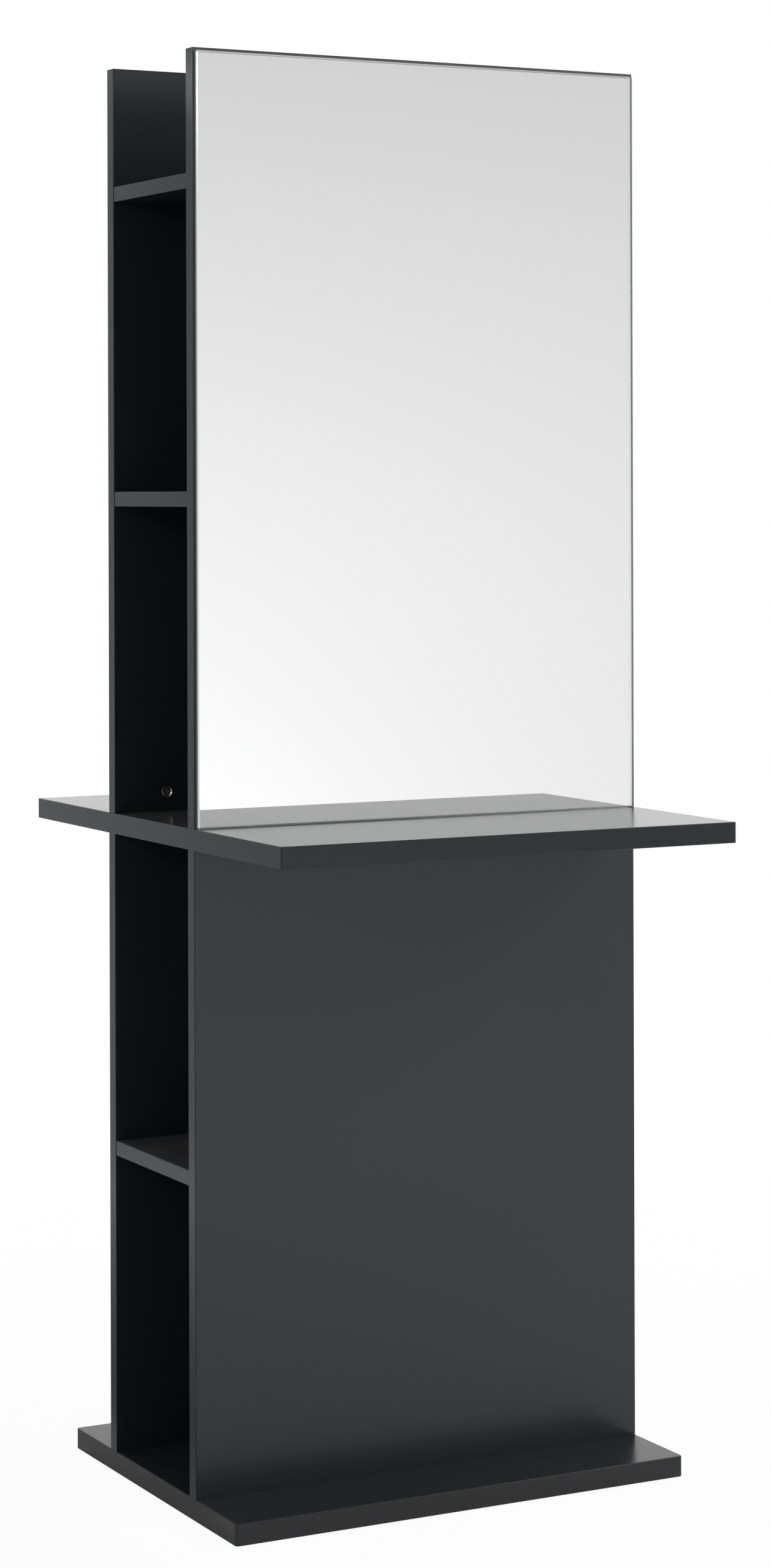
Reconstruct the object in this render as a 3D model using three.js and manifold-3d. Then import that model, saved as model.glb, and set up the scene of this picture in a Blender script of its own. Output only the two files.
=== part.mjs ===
// Double sided salon station: two mirror stations back to back on one slim core of open shelves.
// Millimetres, +Z up. The front station faces -Y, and the origin is on the floor under the centre.

import * as THREE from 'three';
import { mergeVertices } from 'three/addons/utils/BufferGeometryUtils.js';
import Module from 'manifold-3d';

const wasm = await Module();
wasm.setup();

// Boards: slabs are the base and the counter, panels stand upright, shelves lie between panels.
const WIDTH = 600;
const SLAB = 25;
const BOARD = 18;
const BASE_DEPTH = 468;
const COUNTER_DEPTH = 710;
const CORE_DEPTH = 250; // over the outer faces of the panels
const LOWER_PANEL_HEIGHT = 756;
const UPPER_PANEL_HEIGHT = 911;
const SHELF_RECESS = 0.6; // how far each shelf end sits behind the panel ends

// Clear height under each shelf.
const LOWER_SHELF_RISE = 363;
const MIDDLE_SHELF_RISE = 375.5;
const TOP_SHELF_RISE = 354.5;

// Plastic edge bands.
const SLAB_BAND = 2;
const BOARD_BAND = 1;

// Mirrors, held by a ring of foam tape.
const MIRROR_THICKNESS = 6;
const MIRROR_ARRIS = 1.5;
const MIRROR_SIDE_BORDER = 2.7;
const MIRROR_TOP_BORDER = 4;
const MIRROR_FOOT_GAP = 0.25;
const TAPE_THICKNESS = 1;
const TAPE_WIDTH = 20;
const TAPE_INSET = 15;

// Cam locks that pull the upper panels down on the counter.
const CAM_X = 230;
const CAM_RISE = 24;
const CAM_RADIUS = 7.2;
const CAM_LENGTH = 13.4;
const CAM_RECESS = 0.3;
const CAM_BORE_RADIUS = 7.6;
const CAM_BORE_DEPTH = 14;
const CAM_HOLLOW_RADIUS = 4.8;
const CAM_HOLLOW_LENGTH = 7.6;
const CAM_SLOT_WIDTH = 5.8;
const CAM_ENTRY_RADIUS = 3.8;
const CAM_LOCKED_DEG = 270; // where the bolt's neck stands in the cam when it is locked
const CAM_TURN_DEG = 180;
const CAM_SLOT_MARGIN_DEG = 35;
const CAM_CROSS_LENGTH = 7;
const CAM_CROSS_WIDTH = 1.4;
const CAM_CROSS_DEPTH = 2.5;

// Bolts that the cams hook on.
const BOLT_THREAD_RADIUS = 2.5;
const BOLT_THREAD_LENGTH = 11;
const BOLT_SHANK_RADIUS = 3.5;
const BOLT_SHANK_END = 15.5;
const BOLT_NECK_RADIUS = 2.4;
const BOLT_HEAD_RADIUS = 3.3;
const BOLT_HEAD_START = 21.5;
const BOLT_HEAD_END = 25.5;

// Furniture screws through the slabs into the ends of the lower panels.
const SCREW_LENGTH = 50;
const SCREW_HEAD_RADIUS = 4.8;
const SCREW_HEAD_LENGTH = 4.5;
const SCREW_SHANK_RADIUS = 3.4;
const SCREW_THREAD_RADIUS = 2.6;
const SCREW_TIP_LENGTH = 3;
const SCREW_HEX_RADIUS = 2.3;
const SCREW_HEX_DEPTH = 3;
const SCREW_SINK = 0.5;
const BASE_SCREW_X = 220;
const COUNTER_SCREW_X = 150;

// Wooden dowels between shelves and panels.
const DOWEL_RADIUS = 3.9;
const DOWEL_LENGTH = 30;
const DOWEL_CHAMFER = 1;
const DOWEL_IN_PANEL = 10;
const DOWEL_X = 200;

// Nail-on glides under the base.
const GLIDE_HEIGHT = 3;
const GLIDE_RADIUS = 11;
const GLIDE_CHAMFER = 1;
const GLIDE_NAIL_RADIUS = 1.2;
const GLIDE_NAIL_LENGTH = 14;
const GLIDE_X = 265;
const GLIDE_Y = 200;

// Clearance round each fastener, and facets on round pieces.
const FIT_GAP = 0.4;
const END_GAP = 1;
const ROUND_SIDES = 12;
const CAM_SIDES = 32;
const HEX_SIDES = 6;
const OVERCUT = 5;

// Levels of the board undersides.
const BASE_Z = GLIDE_HEIGHT;
const LOWER_Z = BASE_Z + SLAB;
const COUNTER_Z = LOWER_Z + LOWER_PANEL_HEIGHT;
const UPPER_Z = COUNTER_Z + SLAB;

// Middle plane and inner face of the panels, measured from the centre.
const PANEL_Y = (CORE_DEPTH - BOARD) / 2;
const INNER_Y = CORE_DEPTH / 2 - BOARD;
const SHELF_DEPTH = 2 * INNER_Y;
const SHELF_LENGTH = WIDTH - 2 * SHELF_RECESS;

const QUARTER_TURN = Math.PI / 2;

const FRONT = { name: 'front', sign: -1 };
const BACK = { name: 'back', sign: 1 };
const LEFT = { name: 'left', sign: -1 };
const RIGHT = { name: 'right', sign: 1 };
const FACES = [FRONT, BACK];
const ENDS = [LEFT, RIGHT];

const FINISHES = {
  board: { color: 0x1c1c1d, roughness: 0.4, metalness: 0 },
  band: { color: 0x232324, roughness: 0.45, metalness: 0 },
  mirror: { color: 0xe6e8e8, roughness: 0.02, metalness: 1 },
  tape: { color: 0x2b2b2b, roughness: 0.9, metalness: 0 },
  zinc: { color: 0x8f8a80, roughness: 0.35, metalness: 1 },
  steel: { color: 0xb9b6ae, roughness: 0.35, metalness: 1 },
  beech: { color: 0xc9a475, roughness: 0.7, metalness: 0 },
  glide: { color: 0x1a1a1a, roughness: 0.5, metalness: 0 },
};

const station = new THREE.Group();

// Adds one named piece to a group, with a material of its own.
function addPiece(group, name, geometry, finish) {
  const mesh = new THREE.Mesh(geometry, new THREE.MeshStandardMaterial(FINISHES[finish]));
  mesh.name = name;
  group.add(mesh);
  return mesh;
}

// Turns a closed geometry into a solid that can be cut and joined.
function toSolid(geometry) {
  const bare = new THREE.BufferGeometry();
  bare.setAttribute('position', geometry.getAttribute('position'));
  bare.setIndex(geometry.getIndex());
  const merged = mergeVertices(bare);
  const corners = merged.getIndex().array;
  const triangles = [];
  for (let i = 0; i < corners.length; i += 3) {
    const [a, b, c] = corners.slice(i, i + 3);
    if (a !== b && b !== c && c !== a) triangles.push(a, b, c);
  }
  return new wasm.Manifold(new wasm.Mesh({
    numProp: 3,
    vertProperties: Float32Array.from(merged.getAttribute('position').array),
    triVerts: Uint32Array.from(triangles),
  }));
}

// Cuts every tool out of a blank.
function cut(blank, tools) {
  let body = toSolid(blank);
  for (const tool of tools) body = body.subtract(toSolid(tool));
  const mesh = body.getMesh();
  const geometry = new THREE.BufferGeometry();
  geometry.setAttribute('position', new THREE.BufferAttribute(mesh.vertProperties, 3));
  geometry.setIndex(new THREE.BufferAttribute(mesh.triVerts, 1));
  geometry.computeVertexNormals();
  return geometry;
}

// A block centred in X and Y that stands on z = 0.
function block(width, depth, height) {
  return new THREE.BoxGeometry(width, depth, height).translate(0, 0, height / 2);
}

// A round rod along Z.
function rodAlongZ(radius, z0, z1, x = 0, y = 0, sides = ROUND_SIDES) {
  const rod = new THREE.CylinderGeometry(radius, radius, z1 - z0, sides);
  return rod.rotateX(QUARTER_TURN).translate(x, y, (z0 + z1) / 2);
}

// A round rod along Y.
function rodAlongY(radius, y0, y1, x, z, sides = ROUND_SIDES) {
  return new THREE.CylinderGeometry(radius, radius, y1 - y0, sides).translate(x, (y0 + y1) / 2, z);
}

// A turned piece along Z, from [radius, height] steps that start and end on the axis.
function turned(steps) {
  const profile = steps.map(([radius, height]) => new THREE.Vector2(radius, height));
  return new THREE.LatheGeometry(profile, ROUND_SIDES).rotateX(QUARTER_TURN);
}

// A frame of edge band round all four sides of a slab.
function bandRing(width, depth, height, band) {
  const inside = block(width - 2 * band, depth - 2 * band, height + 2 * OVERCUT);
  return cut(block(width, depth, height), [inside.translate(0, 0, -OVERCUT)]);
}

// Two strips of edge band on the left and right ends of a board.
function addEndBands(name, length, depth, height, y, z) {
  for (const end of ENDS) {
    const strip = addPiece(station, `${name}_${end.name}_band`, block(BOARD_BAND, depth, height), 'band');
    strip.position.set(end.sign * (length - BOARD_BAND) / 2, y, z);
  }
}

// Base board: screw holes under the lower panels, nail holes for the glides.
function addBase() {
  const holes = [];
  const headTop = SCREW_SINK + SCREW_HEAD_LENGTH + END_GAP;
  const nailTop = GLIDE_NAIL_LENGTH + END_GAP;
  for (const face of FACES) {
    for (const end of ENDS) {
      const x = end.sign * BASE_SCREW_X;
      const y = face.sign * PANEL_Y;
      const nailX = end.sign * GLIDE_X;
      const nailY = face.sign * GLIDE_Y;
      holes.push(rodAlongZ(SCREW_SHANK_RADIUS + FIT_GAP, -OVERCUT, SLAB + OVERCUT, x, y));
      holes.push(rodAlongZ(SCREW_HEAD_RADIUS + FIT_GAP, -OVERCUT, headTop, x, y));
      holes.push(rodAlongZ(GLIDE_NAIL_RADIUS + FIT_GAP, -OVERCUT, nailTop, nailX, nailY));
    }
  }
  const core = block(WIDTH - 2 * SLAB_BAND, BASE_DEPTH - 2 * SLAB_BAND, SLAB);
  addPiece(station, 'base_board', cut(core, holes), 'board').position.z = BASE_Z;
  const ring = bandRing(WIDTH, BASE_DEPTH, SLAB, SLAB_BAND);
  addPiece(station, 'base_edge_band', ring, 'band').position.z = BASE_Z;
}

// Counter board: screw holes into the lower panels, thread holes for the cam bolts.
function addCounter() {
  const holes = [];
  const headBottom = SLAB - SCREW_SINK - SCREW_HEAD_LENGTH - END_GAP;
  const threadBottom = SLAB - BOLT_THREAD_LENGTH - END_GAP;
  for (const face of FACES) {
    for (const end of ENDS) {
      const x = end.sign * COUNTER_SCREW_X;
      const y = face.sign * PANEL_Y;
      const boltX = end.sign * CAM_X;
      holes.push(rodAlongZ(SCREW_SHANK_RADIUS + FIT_GAP, -OVERCUT, SLAB + OVERCUT, x, y));
      holes.push(rodAlongZ(SCREW_HEAD_RADIUS + FIT_GAP, headBottom, SLAB + OVERCUT, x, y));
      holes.push(rodAlongZ(BOLT_THREAD_RADIUS + FIT_GAP, threadBottom, SLAB + OVERCUT, boltX, y));
    }
  }
  const core = block(WIDTH - 2 * SLAB_BAND, COUNTER_DEPTH - 2 * SLAB_BAND, SLAB);
  addPiece(station, 'counter_board', cut(core, holes), 'board').position.z = COUNTER_Z;
  const ring = bandRing(WIDTH, COUNTER_DEPTH, SLAB, SLAB_BAND);
  addPiece(station, 'counter_edge_band', ring, 'band').position.z = COUNTER_Z;
}

// Blind dowel holes in the inner face of a panel, one row for each shelf rise.
function panelDowelHoles(face, shelfRises) {
  const depth = DOWEL_IN_PANEL + END_GAP;
  const innerFace = -face.sign * BOARD / 2;
  const bottom = innerFace + face.sign * depth;
  const mouth = innerFace - face.sign * OVERCUT;
  const holes = [];
  for (const rise of shelfRises) {
    for (const end of ENDS) {
      const low = Math.min(bottom, mouth);
      const high = Math.max(bottom, mouth);
      const x = end.sign * DOWEL_X;
      holes.push(rodAlongY(DOWEL_RADIUS + FIT_GAP, low, high, x, rise + BOARD / 2));
    }
  }
  return holes;
}

// Lower panels stand on the base and carry the counter.
function addLowerPanel(face) {
  const name = `lower_${face.name}_panel`;
  const pilot = SCREW_LENGTH - SLAB + SCREW_SINK + END_GAP;
  const radius = SCREW_THREAD_RADIUS + FIT_GAP;
  const holes = panelDowelHoles(face, [LOWER_SHELF_RISE]);
  for (const end of ENDS) {
    const top = LOWER_PANEL_HEIGHT;
    holes.push(rodAlongZ(radius, -OVERCUT, pilot, end.sign * BASE_SCREW_X));
    holes.push(rodAlongZ(radius, top - pilot, top + OVERCUT, end.sign * COUNTER_SCREW_X));
  }
  const core = block(WIDTH - 2 * BOARD_BAND, BOARD, LOWER_PANEL_HEIGHT);
  const y = face.sign * PANEL_Y;
  addPiece(station, name, cut(core, holes), 'board').position.set(0, y, LOWER_Z);
  addEndBands(name, WIDTH, BOARD, LOWER_PANEL_HEIGHT, y, LOWER_Z);
}

// Upper panels stand on the counter, pulled down by two cam locks each.
function addUpperPanel(face) {
  const name = `upper_${face.name}_panel`;
  const middleRise = MIDDLE_SHELF_RISE;
  const topRise = MIDDLE_SHELF_RISE + BOARD + TOP_SHELF_RISE;
  const innerFace = -face.sign * BOARD / 2;
  const boreBottom = innerFace + face.sign * CAM_BORE_DEPTH;
  const boreMouth = innerFace - face.sign * OVERCUT;
  const boreLow = Math.min(boreBottom, boreMouth);
  const boreHigh = Math.max(boreBottom, boreMouth);
  const holes = panelDowelHoles(face, [middleRise, topRise]);
  for (const end of ENDS) {
    const x = end.sign * CAM_X;
    holes.push(rodAlongY(CAM_BORE_RADIUS, boreLow, boreHigh, x, CAM_RISE, CAM_SIDES));
    holes.push(rodAlongZ(BOLT_SHANK_RADIUS + FIT_GAP, -OVERCUT, CAM_RISE, x));
  }
  const coreHeight = UPPER_PANEL_HEIGHT - BOARD_BAND;
  const core = block(WIDTH - 2 * BOARD_BAND, BOARD, coreHeight);
  const y = face.sign * PANEL_Y;
  addPiece(station, name, cut(core, holes), 'board').position.set(0, y, UPPER_Z);
  const outline = block(WIDTH, BOARD, UPPER_PANEL_HEIGHT);
  const inside = block(WIDTH - 2 * BOARD_BAND, BOARD + 2 * OVERCUT, coreHeight + OVERCUT);
  const band = cut(outline, [inside.translate(0, 0, -OVERCUT)]);
  addPiece(station, `${name}_edge_band`, band, 'band').position.set(0, y, UPPER_Z);
}

// A shelf between two panels, on two glued dowels a side.
function addShelf(name, z) {
  const dowelInShelf = DOWEL_LENGTH - DOWEL_IN_PANEL;
  const holeDepth = dowelInShelf + END_GAP;
  const edge = SHELF_DEPTH / 2;
  const dowelEnd = DOWEL_RADIUS - DOWEL_CHAMFER;
  const holes = [];
  for (const face of FACES) {
    for (const end of ENDS) {
      const x = end.sign * DOWEL_X;
      const bottom = face.sign * (edge - holeDepth);
      const mouth = face.sign * (edge + OVERCUT);
      const low = Math.min(bottom, mouth);
      const high = Math.max(bottom, mouth);
      holes.push(rodAlongY(DOWEL_RADIUS + FIT_GAP, low, high, x, BOARD / 2));
      const dowel = turned([
        [0, 0],
        [dowelEnd, 0],
        [DOWEL_RADIUS, DOWEL_CHAMFER],
        [DOWEL_RADIUS, DOWEL_LENGTH - DOWEL_CHAMFER],
        [dowelEnd, DOWEL_LENGTH],
        [0, DOWEL_LENGTH],
      ]);
      const piece = addPiece(station, `${name}_dowel_${face.name}_${end.name}`, dowel, 'beech');
      piece.position.set(x, face.sign * (edge - dowelInShelf), z + BOARD / 2);
      piece.rotation.x = -face.sign * QUARTER_TURN;
    }
  }
  const core = block(SHELF_LENGTH - 2 * BOARD_BAND, SHELF_DEPTH, BOARD);
  addPiece(station, name, cut(core, holes), 'board').position.z = z;
  addEndBands(name, SHELF_LENGTH, SHELF_DEPTH, BOARD, 0, z);
}

// A frameless mirror with polished arrises, on a ring of tape.
function addMirror(face) {
  const width = WIDTH - 2 * MIRROR_SIDE_BORDER;
  const height = UPPER_PANEL_HEIGHT - MIRROR_TOP_BORDER - MIRROR_FOOT_GAP;
  const bottom = UPPER_Z + MIRROR_FOOT_GAP;
  const middle = bottom + height / 2;
  const halfWidth = width / 2 - MIRROR_ARRIS;
  const halfHeight = height / 2 - MIRROR_ARRIS;
  const outline = new THREE.Shape();
  outline.moveTo(-halfWidth, -halfHeight);
  outline.lineTo(halfWidth, -halfHeight);
  outline.lineTo(halfWidth, halfHeight);
  outline.lineTo(-halfWidth, halfHeight);
  outline.closePath();
  const glass = new THREE.ExtrudeGeometry(outline, {
    depth: MIRROR_THICKNESS - 2 * MIRROR_ARRIS,
    bevelSize: MIRROR_ARRIS,
    bevelThickness: MIRROR_ARRIS,
    bevelSegments: 1,
  });
  glass.translate(0, 0, MIRROR_ARRIS - MIRROR_THICKNESS / 2).rotateX(QUARTER_TURN);
  const glassY = CORE_DEPTH / 2 + TAPE_THICKNESS + MIRROR_THICKNESS / 2;
  const mirror = addPiece(station, `${face.name}_mirror`, glass, 'mirror');
  mirror.position.set(0, face.sign * glassY, middle);

  const tapeWidth = width - 2 * TAPE_INSET;
  const tapeHeight = height - 2 * TAPE_INSET;
  const openWidth = tapeWidth - 2 * TAPE_WIDTH;
  const openHeight = tapeHeight - 2 * TAPE_WIDTH;
  const opening = block(openWidth, TAPE_THICKNESS + 2 * OVERCUT, openHeight).translate(0, 0, TAPE_WIDTH);
  const tape = cut(block(tapeWidth, TAPE_THICKNESS, tapeHeight), [opening]);
  const tapeY = (CORE_DEPTH + TAPE_THICKNESS) / 2;
  const piece = addPiece(station, `${face.name}_mirror_tape`, tape, 'tape');
  piece.position.set(0, face.sign * tapeY, bottom + TAPE_INSET);
}

// A cam with its axis along Z and its driver face at z = 0. It is locked with the bolt along -Y, and the
// slot lets the bolt's neck pass while the cam turns anticlockwise to bring its entry to the bolt.
function camGeometry() {
  const bolt = CAM_RECESS - BOARD / 2;
  const outside = CAM_RADIUS + OVERCUT;
  const slotStart = THREE.MathUtils.degToRad(CAM_LOCKED_DEG - CAM_TURN_DEG - CAM_SLOT_MARGIN_DEG);
  const slotEnd = THREE.MathUtils.degToRad(CAM_LOCKED_DEG + CAM_SLOT_MARGIN_DEG);
  const sector = new THREE.Shape();
  sector.moveTo(0, 0);
  sector.absarc(0, 0, outside, slotStart, slotEnd);
  sector.closePath();
  const slot = new THREE.ExtrudeGeometry(sector, { depth: CAM_SLOT_WIDTH, bevelEnabled: false });
  const hollowHalf = CAM_HOLLOW_LENGTH / 2;
  const crossHeight = 2 * CAM_CROSS_DEPTH;
  return cut(rodAlongZ(CAM_RADIUS, -CAM_LENGTH, 0, 0, 0, CAM_SIDES), [
    rodAlongZ(CAM_HOLLOW_RADIUS, bolt - hollowHalf, bolt + hollowHalf),
    slot.translate(0, 0, bolt - CAM_SLOT_WIDTH / 2),
    rodAlongY(CAM_ENTRY_RADIUS, 0, outside, 0, bolt),
    block(CAM_CROSS_LENGTH, CAM_CROSS_WIDTH, crossHeight).translate(0, 0, -CAM_CROSS_DEPTH),
    block(CAM_CROSS_WIDTH, CAM_CROSS_LENGTH, crossHeight).translate(0, 0, -CAM_CROSS_DEPTH),
  ]);
}

// A bolt that stands in the counter, with z = 0 at the counter's top.
function camBoltGeometry() {
  return turned([
    [0, -BOLT_THREAD_LENGTH],
    [BOLT_THREAD_RADIUS, -BOLT_THREAD_LENGTH],
    [BOLT_THREAD_RADIUS, 0],
    [BOLT_SHANK_RADIUS, 0],
    [BOLT_SHANK_RADIUS, BOLT_SHANK_END],
    [BOLT_NECK_RADIUS, BOLT_SHANK_END],
    [BOLT_NECK_RADIUS, BOLT_HEAD_START],
    [BOLT_HEAD_RADIUS, BOLT_HEAD_START],
    [BOLT_HEAD_RADIUS, BOLT_HEAD_END],
    [0, BOLT_HEAD_END],
  ]);
}

// Cam locks sit in the inner faces of the upper panels, near both ends.
function addCamLocks(face) {
  const cams = new THREE.Group();
  cams.position.set(0, face.sign * (INNER_Y + CAM_RECESS), UPPER_Z + CAM_RISE);
  station.add(cams);
  for (const end of ENDS) {
    const corner = `${face.name}_${end.name}`;
    const cam = addPiece(cams, `cam_${corner}`, camGeometry(), 'zinc');
    cam.position.x = end.sign * CAM_X;
    cam.rotation.set(QUARTER_TURN, 0, face === FRONT ? Math.PI : 0, 'ZXY');
    const bolt = addPiece(station, `cam_bolt_${corner}`, camBoltGeometry(), 'steel');
    bolt.position.set(end.sign * CAM_X, face.sign * PANEL_Y, UPPER_Z);
  }
}

// A furniture screw with its head at z = 0 and its tip up.
function screwGeometry() {
  const body = turned([
    [0, 0],
    [SCREW_HEAD_RADIUS, 0],
    [SCREW_HEAD_RADIUS, SCREW_HEAD_LENGTH],
    [SCREW_SHANK_RADIUS, SCREW_HEAD_LENGTH],
    [SCREW_SHANK_RADIUS, SLAB - SCREW_SINK - END_GAP],
    [SCREW_THREAD_RADIUS, SLAB - SCREW_SINK - END_GAP],
    [SCREW_THREAD_RADIUS, SCREW_LENGTH - SCREW_TIP_LENGTH],
    [0, SCREW_LENGTH],
  ]);
  return cut(body, [rodAlongZ(SCREW_HEX_RADIUS, -OVERCUT, SCREW_HEX_DEPTH, 0, 0, HEX_SIDES)]);
}

// Screws hold the lower panels to the base from below and to the counter from above.
function addScrews() {
  for (const face of FACES) {
    for (const end of ENDS) {
      const corner = `${face.name}_${end.name}`;
      const y = face.sign * PANEL_Y;
      const below = addPiece(station, `base_screw_${corner}`, screwGeometry(), 'steel');
      below.position.set(end.sign * BASE_SCREW_X, y, BASE_Z + SCREW_SINK);
      const above = addPiece(station, `counter_screw_${corner}`, screwGeometry(), 'steel');
      above.position.set(end.sign * COUNTER_SCREW_X, y, UPPER_Z - SCREW_SINK);
      above.rotation.x = Math.PI;
    }
  }
}

// Glides nailed under the corners of the base.
function addGlides() {
  for (const face of FACES) {
    for (const end of ENDS) {
      const glide = turned([
        [0, 0],
        [GLIDE_RADIUS - GLIDE_CHAMFER, 0],
        [GLIDE_RADIUS, GLIDE_CHAMFER],
        [GLIDE_RADIUS, GLIDE_HEIGHT],
        [GLIDE_NAIL_RADIUS, GLIDE_HEIGHT],
        [GLIDE_NAIL_RADIUS, GLIDE_HEIGHT + GLIDE_NAIL_LENGTH - GLIDE_CHAMFER],
        [0, GLIDE_HEIGHT + GLIDE_NAIL_LENGTH],
      ]);
      const piece = addPiece(station, `glide_${face.name}_${end.name}`, glide, 'glide');
      piece.position.set(end.sign * GLIDE_X, face.sign * GLIDE_Y, 0);
    }
  }
}

addBase();
addCounter();
for (const face of FACES) {
  addLowerPanel(face);
  addUpperPanel(face);
  addMirror(face);
  addCamLocks(face);
}
addShelf('lower_shelf', LOWER_Z + LOWER_SHELF_RISE);
addShelf('middle_shelf', UPPER_Z + MIDDLE_SHELF_RISE);
addShelf('top_shelf', UPPER_Z + MIDDLE_SHELF_RISE + BOARD + TOP_SHELF_RISE);
addScrews();
addGlides();

export default station;
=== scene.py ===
"""Double sided salon station: finished pieces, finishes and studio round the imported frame."""

import functools
import logging
import math
from collections.abc import Callable, Sequence
from dataclasses import dataclass
from enum import Enum

import bmesh
import bpy
from mathutils import Matrix, Vector


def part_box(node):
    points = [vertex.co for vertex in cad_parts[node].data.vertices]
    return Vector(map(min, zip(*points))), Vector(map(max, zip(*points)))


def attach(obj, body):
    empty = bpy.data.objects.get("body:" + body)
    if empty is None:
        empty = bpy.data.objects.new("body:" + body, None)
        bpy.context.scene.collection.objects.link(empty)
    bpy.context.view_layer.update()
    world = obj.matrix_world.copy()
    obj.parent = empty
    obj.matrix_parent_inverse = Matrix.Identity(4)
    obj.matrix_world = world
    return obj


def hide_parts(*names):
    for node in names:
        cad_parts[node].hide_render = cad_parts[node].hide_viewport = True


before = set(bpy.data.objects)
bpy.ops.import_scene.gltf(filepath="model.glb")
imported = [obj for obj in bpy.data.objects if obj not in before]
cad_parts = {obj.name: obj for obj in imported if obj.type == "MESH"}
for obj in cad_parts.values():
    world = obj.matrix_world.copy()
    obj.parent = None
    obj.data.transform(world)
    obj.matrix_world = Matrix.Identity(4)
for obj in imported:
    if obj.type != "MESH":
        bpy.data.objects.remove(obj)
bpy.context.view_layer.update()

LOG = logging.getLogger("salon_station")
MM = 0.001

# Tolerances: a point on a plane, points to weld, slivers to clear away
ON_PLANE = 0.02 * MM
WELD = ON_PLANE / 10
SLIVER = ON_PLANE / 20

# Angles: an edge counts as sharp above the first, and is shaded smoothly below the second
SHARP = math.radians(40)
SMOOTH = math.radians(35)

# Cosines: a face looks straight along a way above the first, roughly that way above the second
STRAIGHT = 0.9
ROUGHLY = 0.5

Colour = tuple[float, float, float]
Span = tuple[float, float]
Node = bpy.types.Node
Socket = bpy.types.NodeSocket
Piece = bpy.types.Object
Polygon = bpy.types.MeshPolygon
Edge = bmesh.types.BMEdge


class Face(Enum):
    """The two stations: the front one looks along -Y, the back one along +Y."""

    FRONT = "front"
    BACK = "back"

    @property
    def outward(self) -> Vector:
        """The way this station looks."""
        return Vector((0, -1 if self is Face.FRONT else 1, 0))


class End(Enum):
    """The two open ends of the shelf core."""

    LEFT = "left"
    RIGHT = "right"

    @property
    def outward(self) -> Vector:
        """The way out of the core at this end."""
        return Vector((-1 if self is End.LEFT else 1, 0, 0))


class Slot(Enum):
    """Names of material slots."""

    BOARD = "black_board"
    BAND = "edge_band"
    MIRROR = "mirror"
    TAPE = "foam_tape"
    CAM = "cam_zinc"
    BOLT = "bolt_steel"
    DOWEL = "beech_dowel"
    SCREW = "screw_steel"
    GLIDE = "glide_plastic"


STATION = "station"
CORNERS = [(face, end) for face in Face for end in End]
UPPER_SHELVES = ("middle_shelf", "top_shelf")
SHELVES = ("lower_shelf", *UPPER_SHELVES)


def corner_name(kind: str, face: Face, end: End) -> str:
    """The node name of one corner's copy of a repeated piece."""
    return f"{kind}_{face.value}_{end.value}"


# Shader building

Feed = Socket | float | tuple


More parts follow.
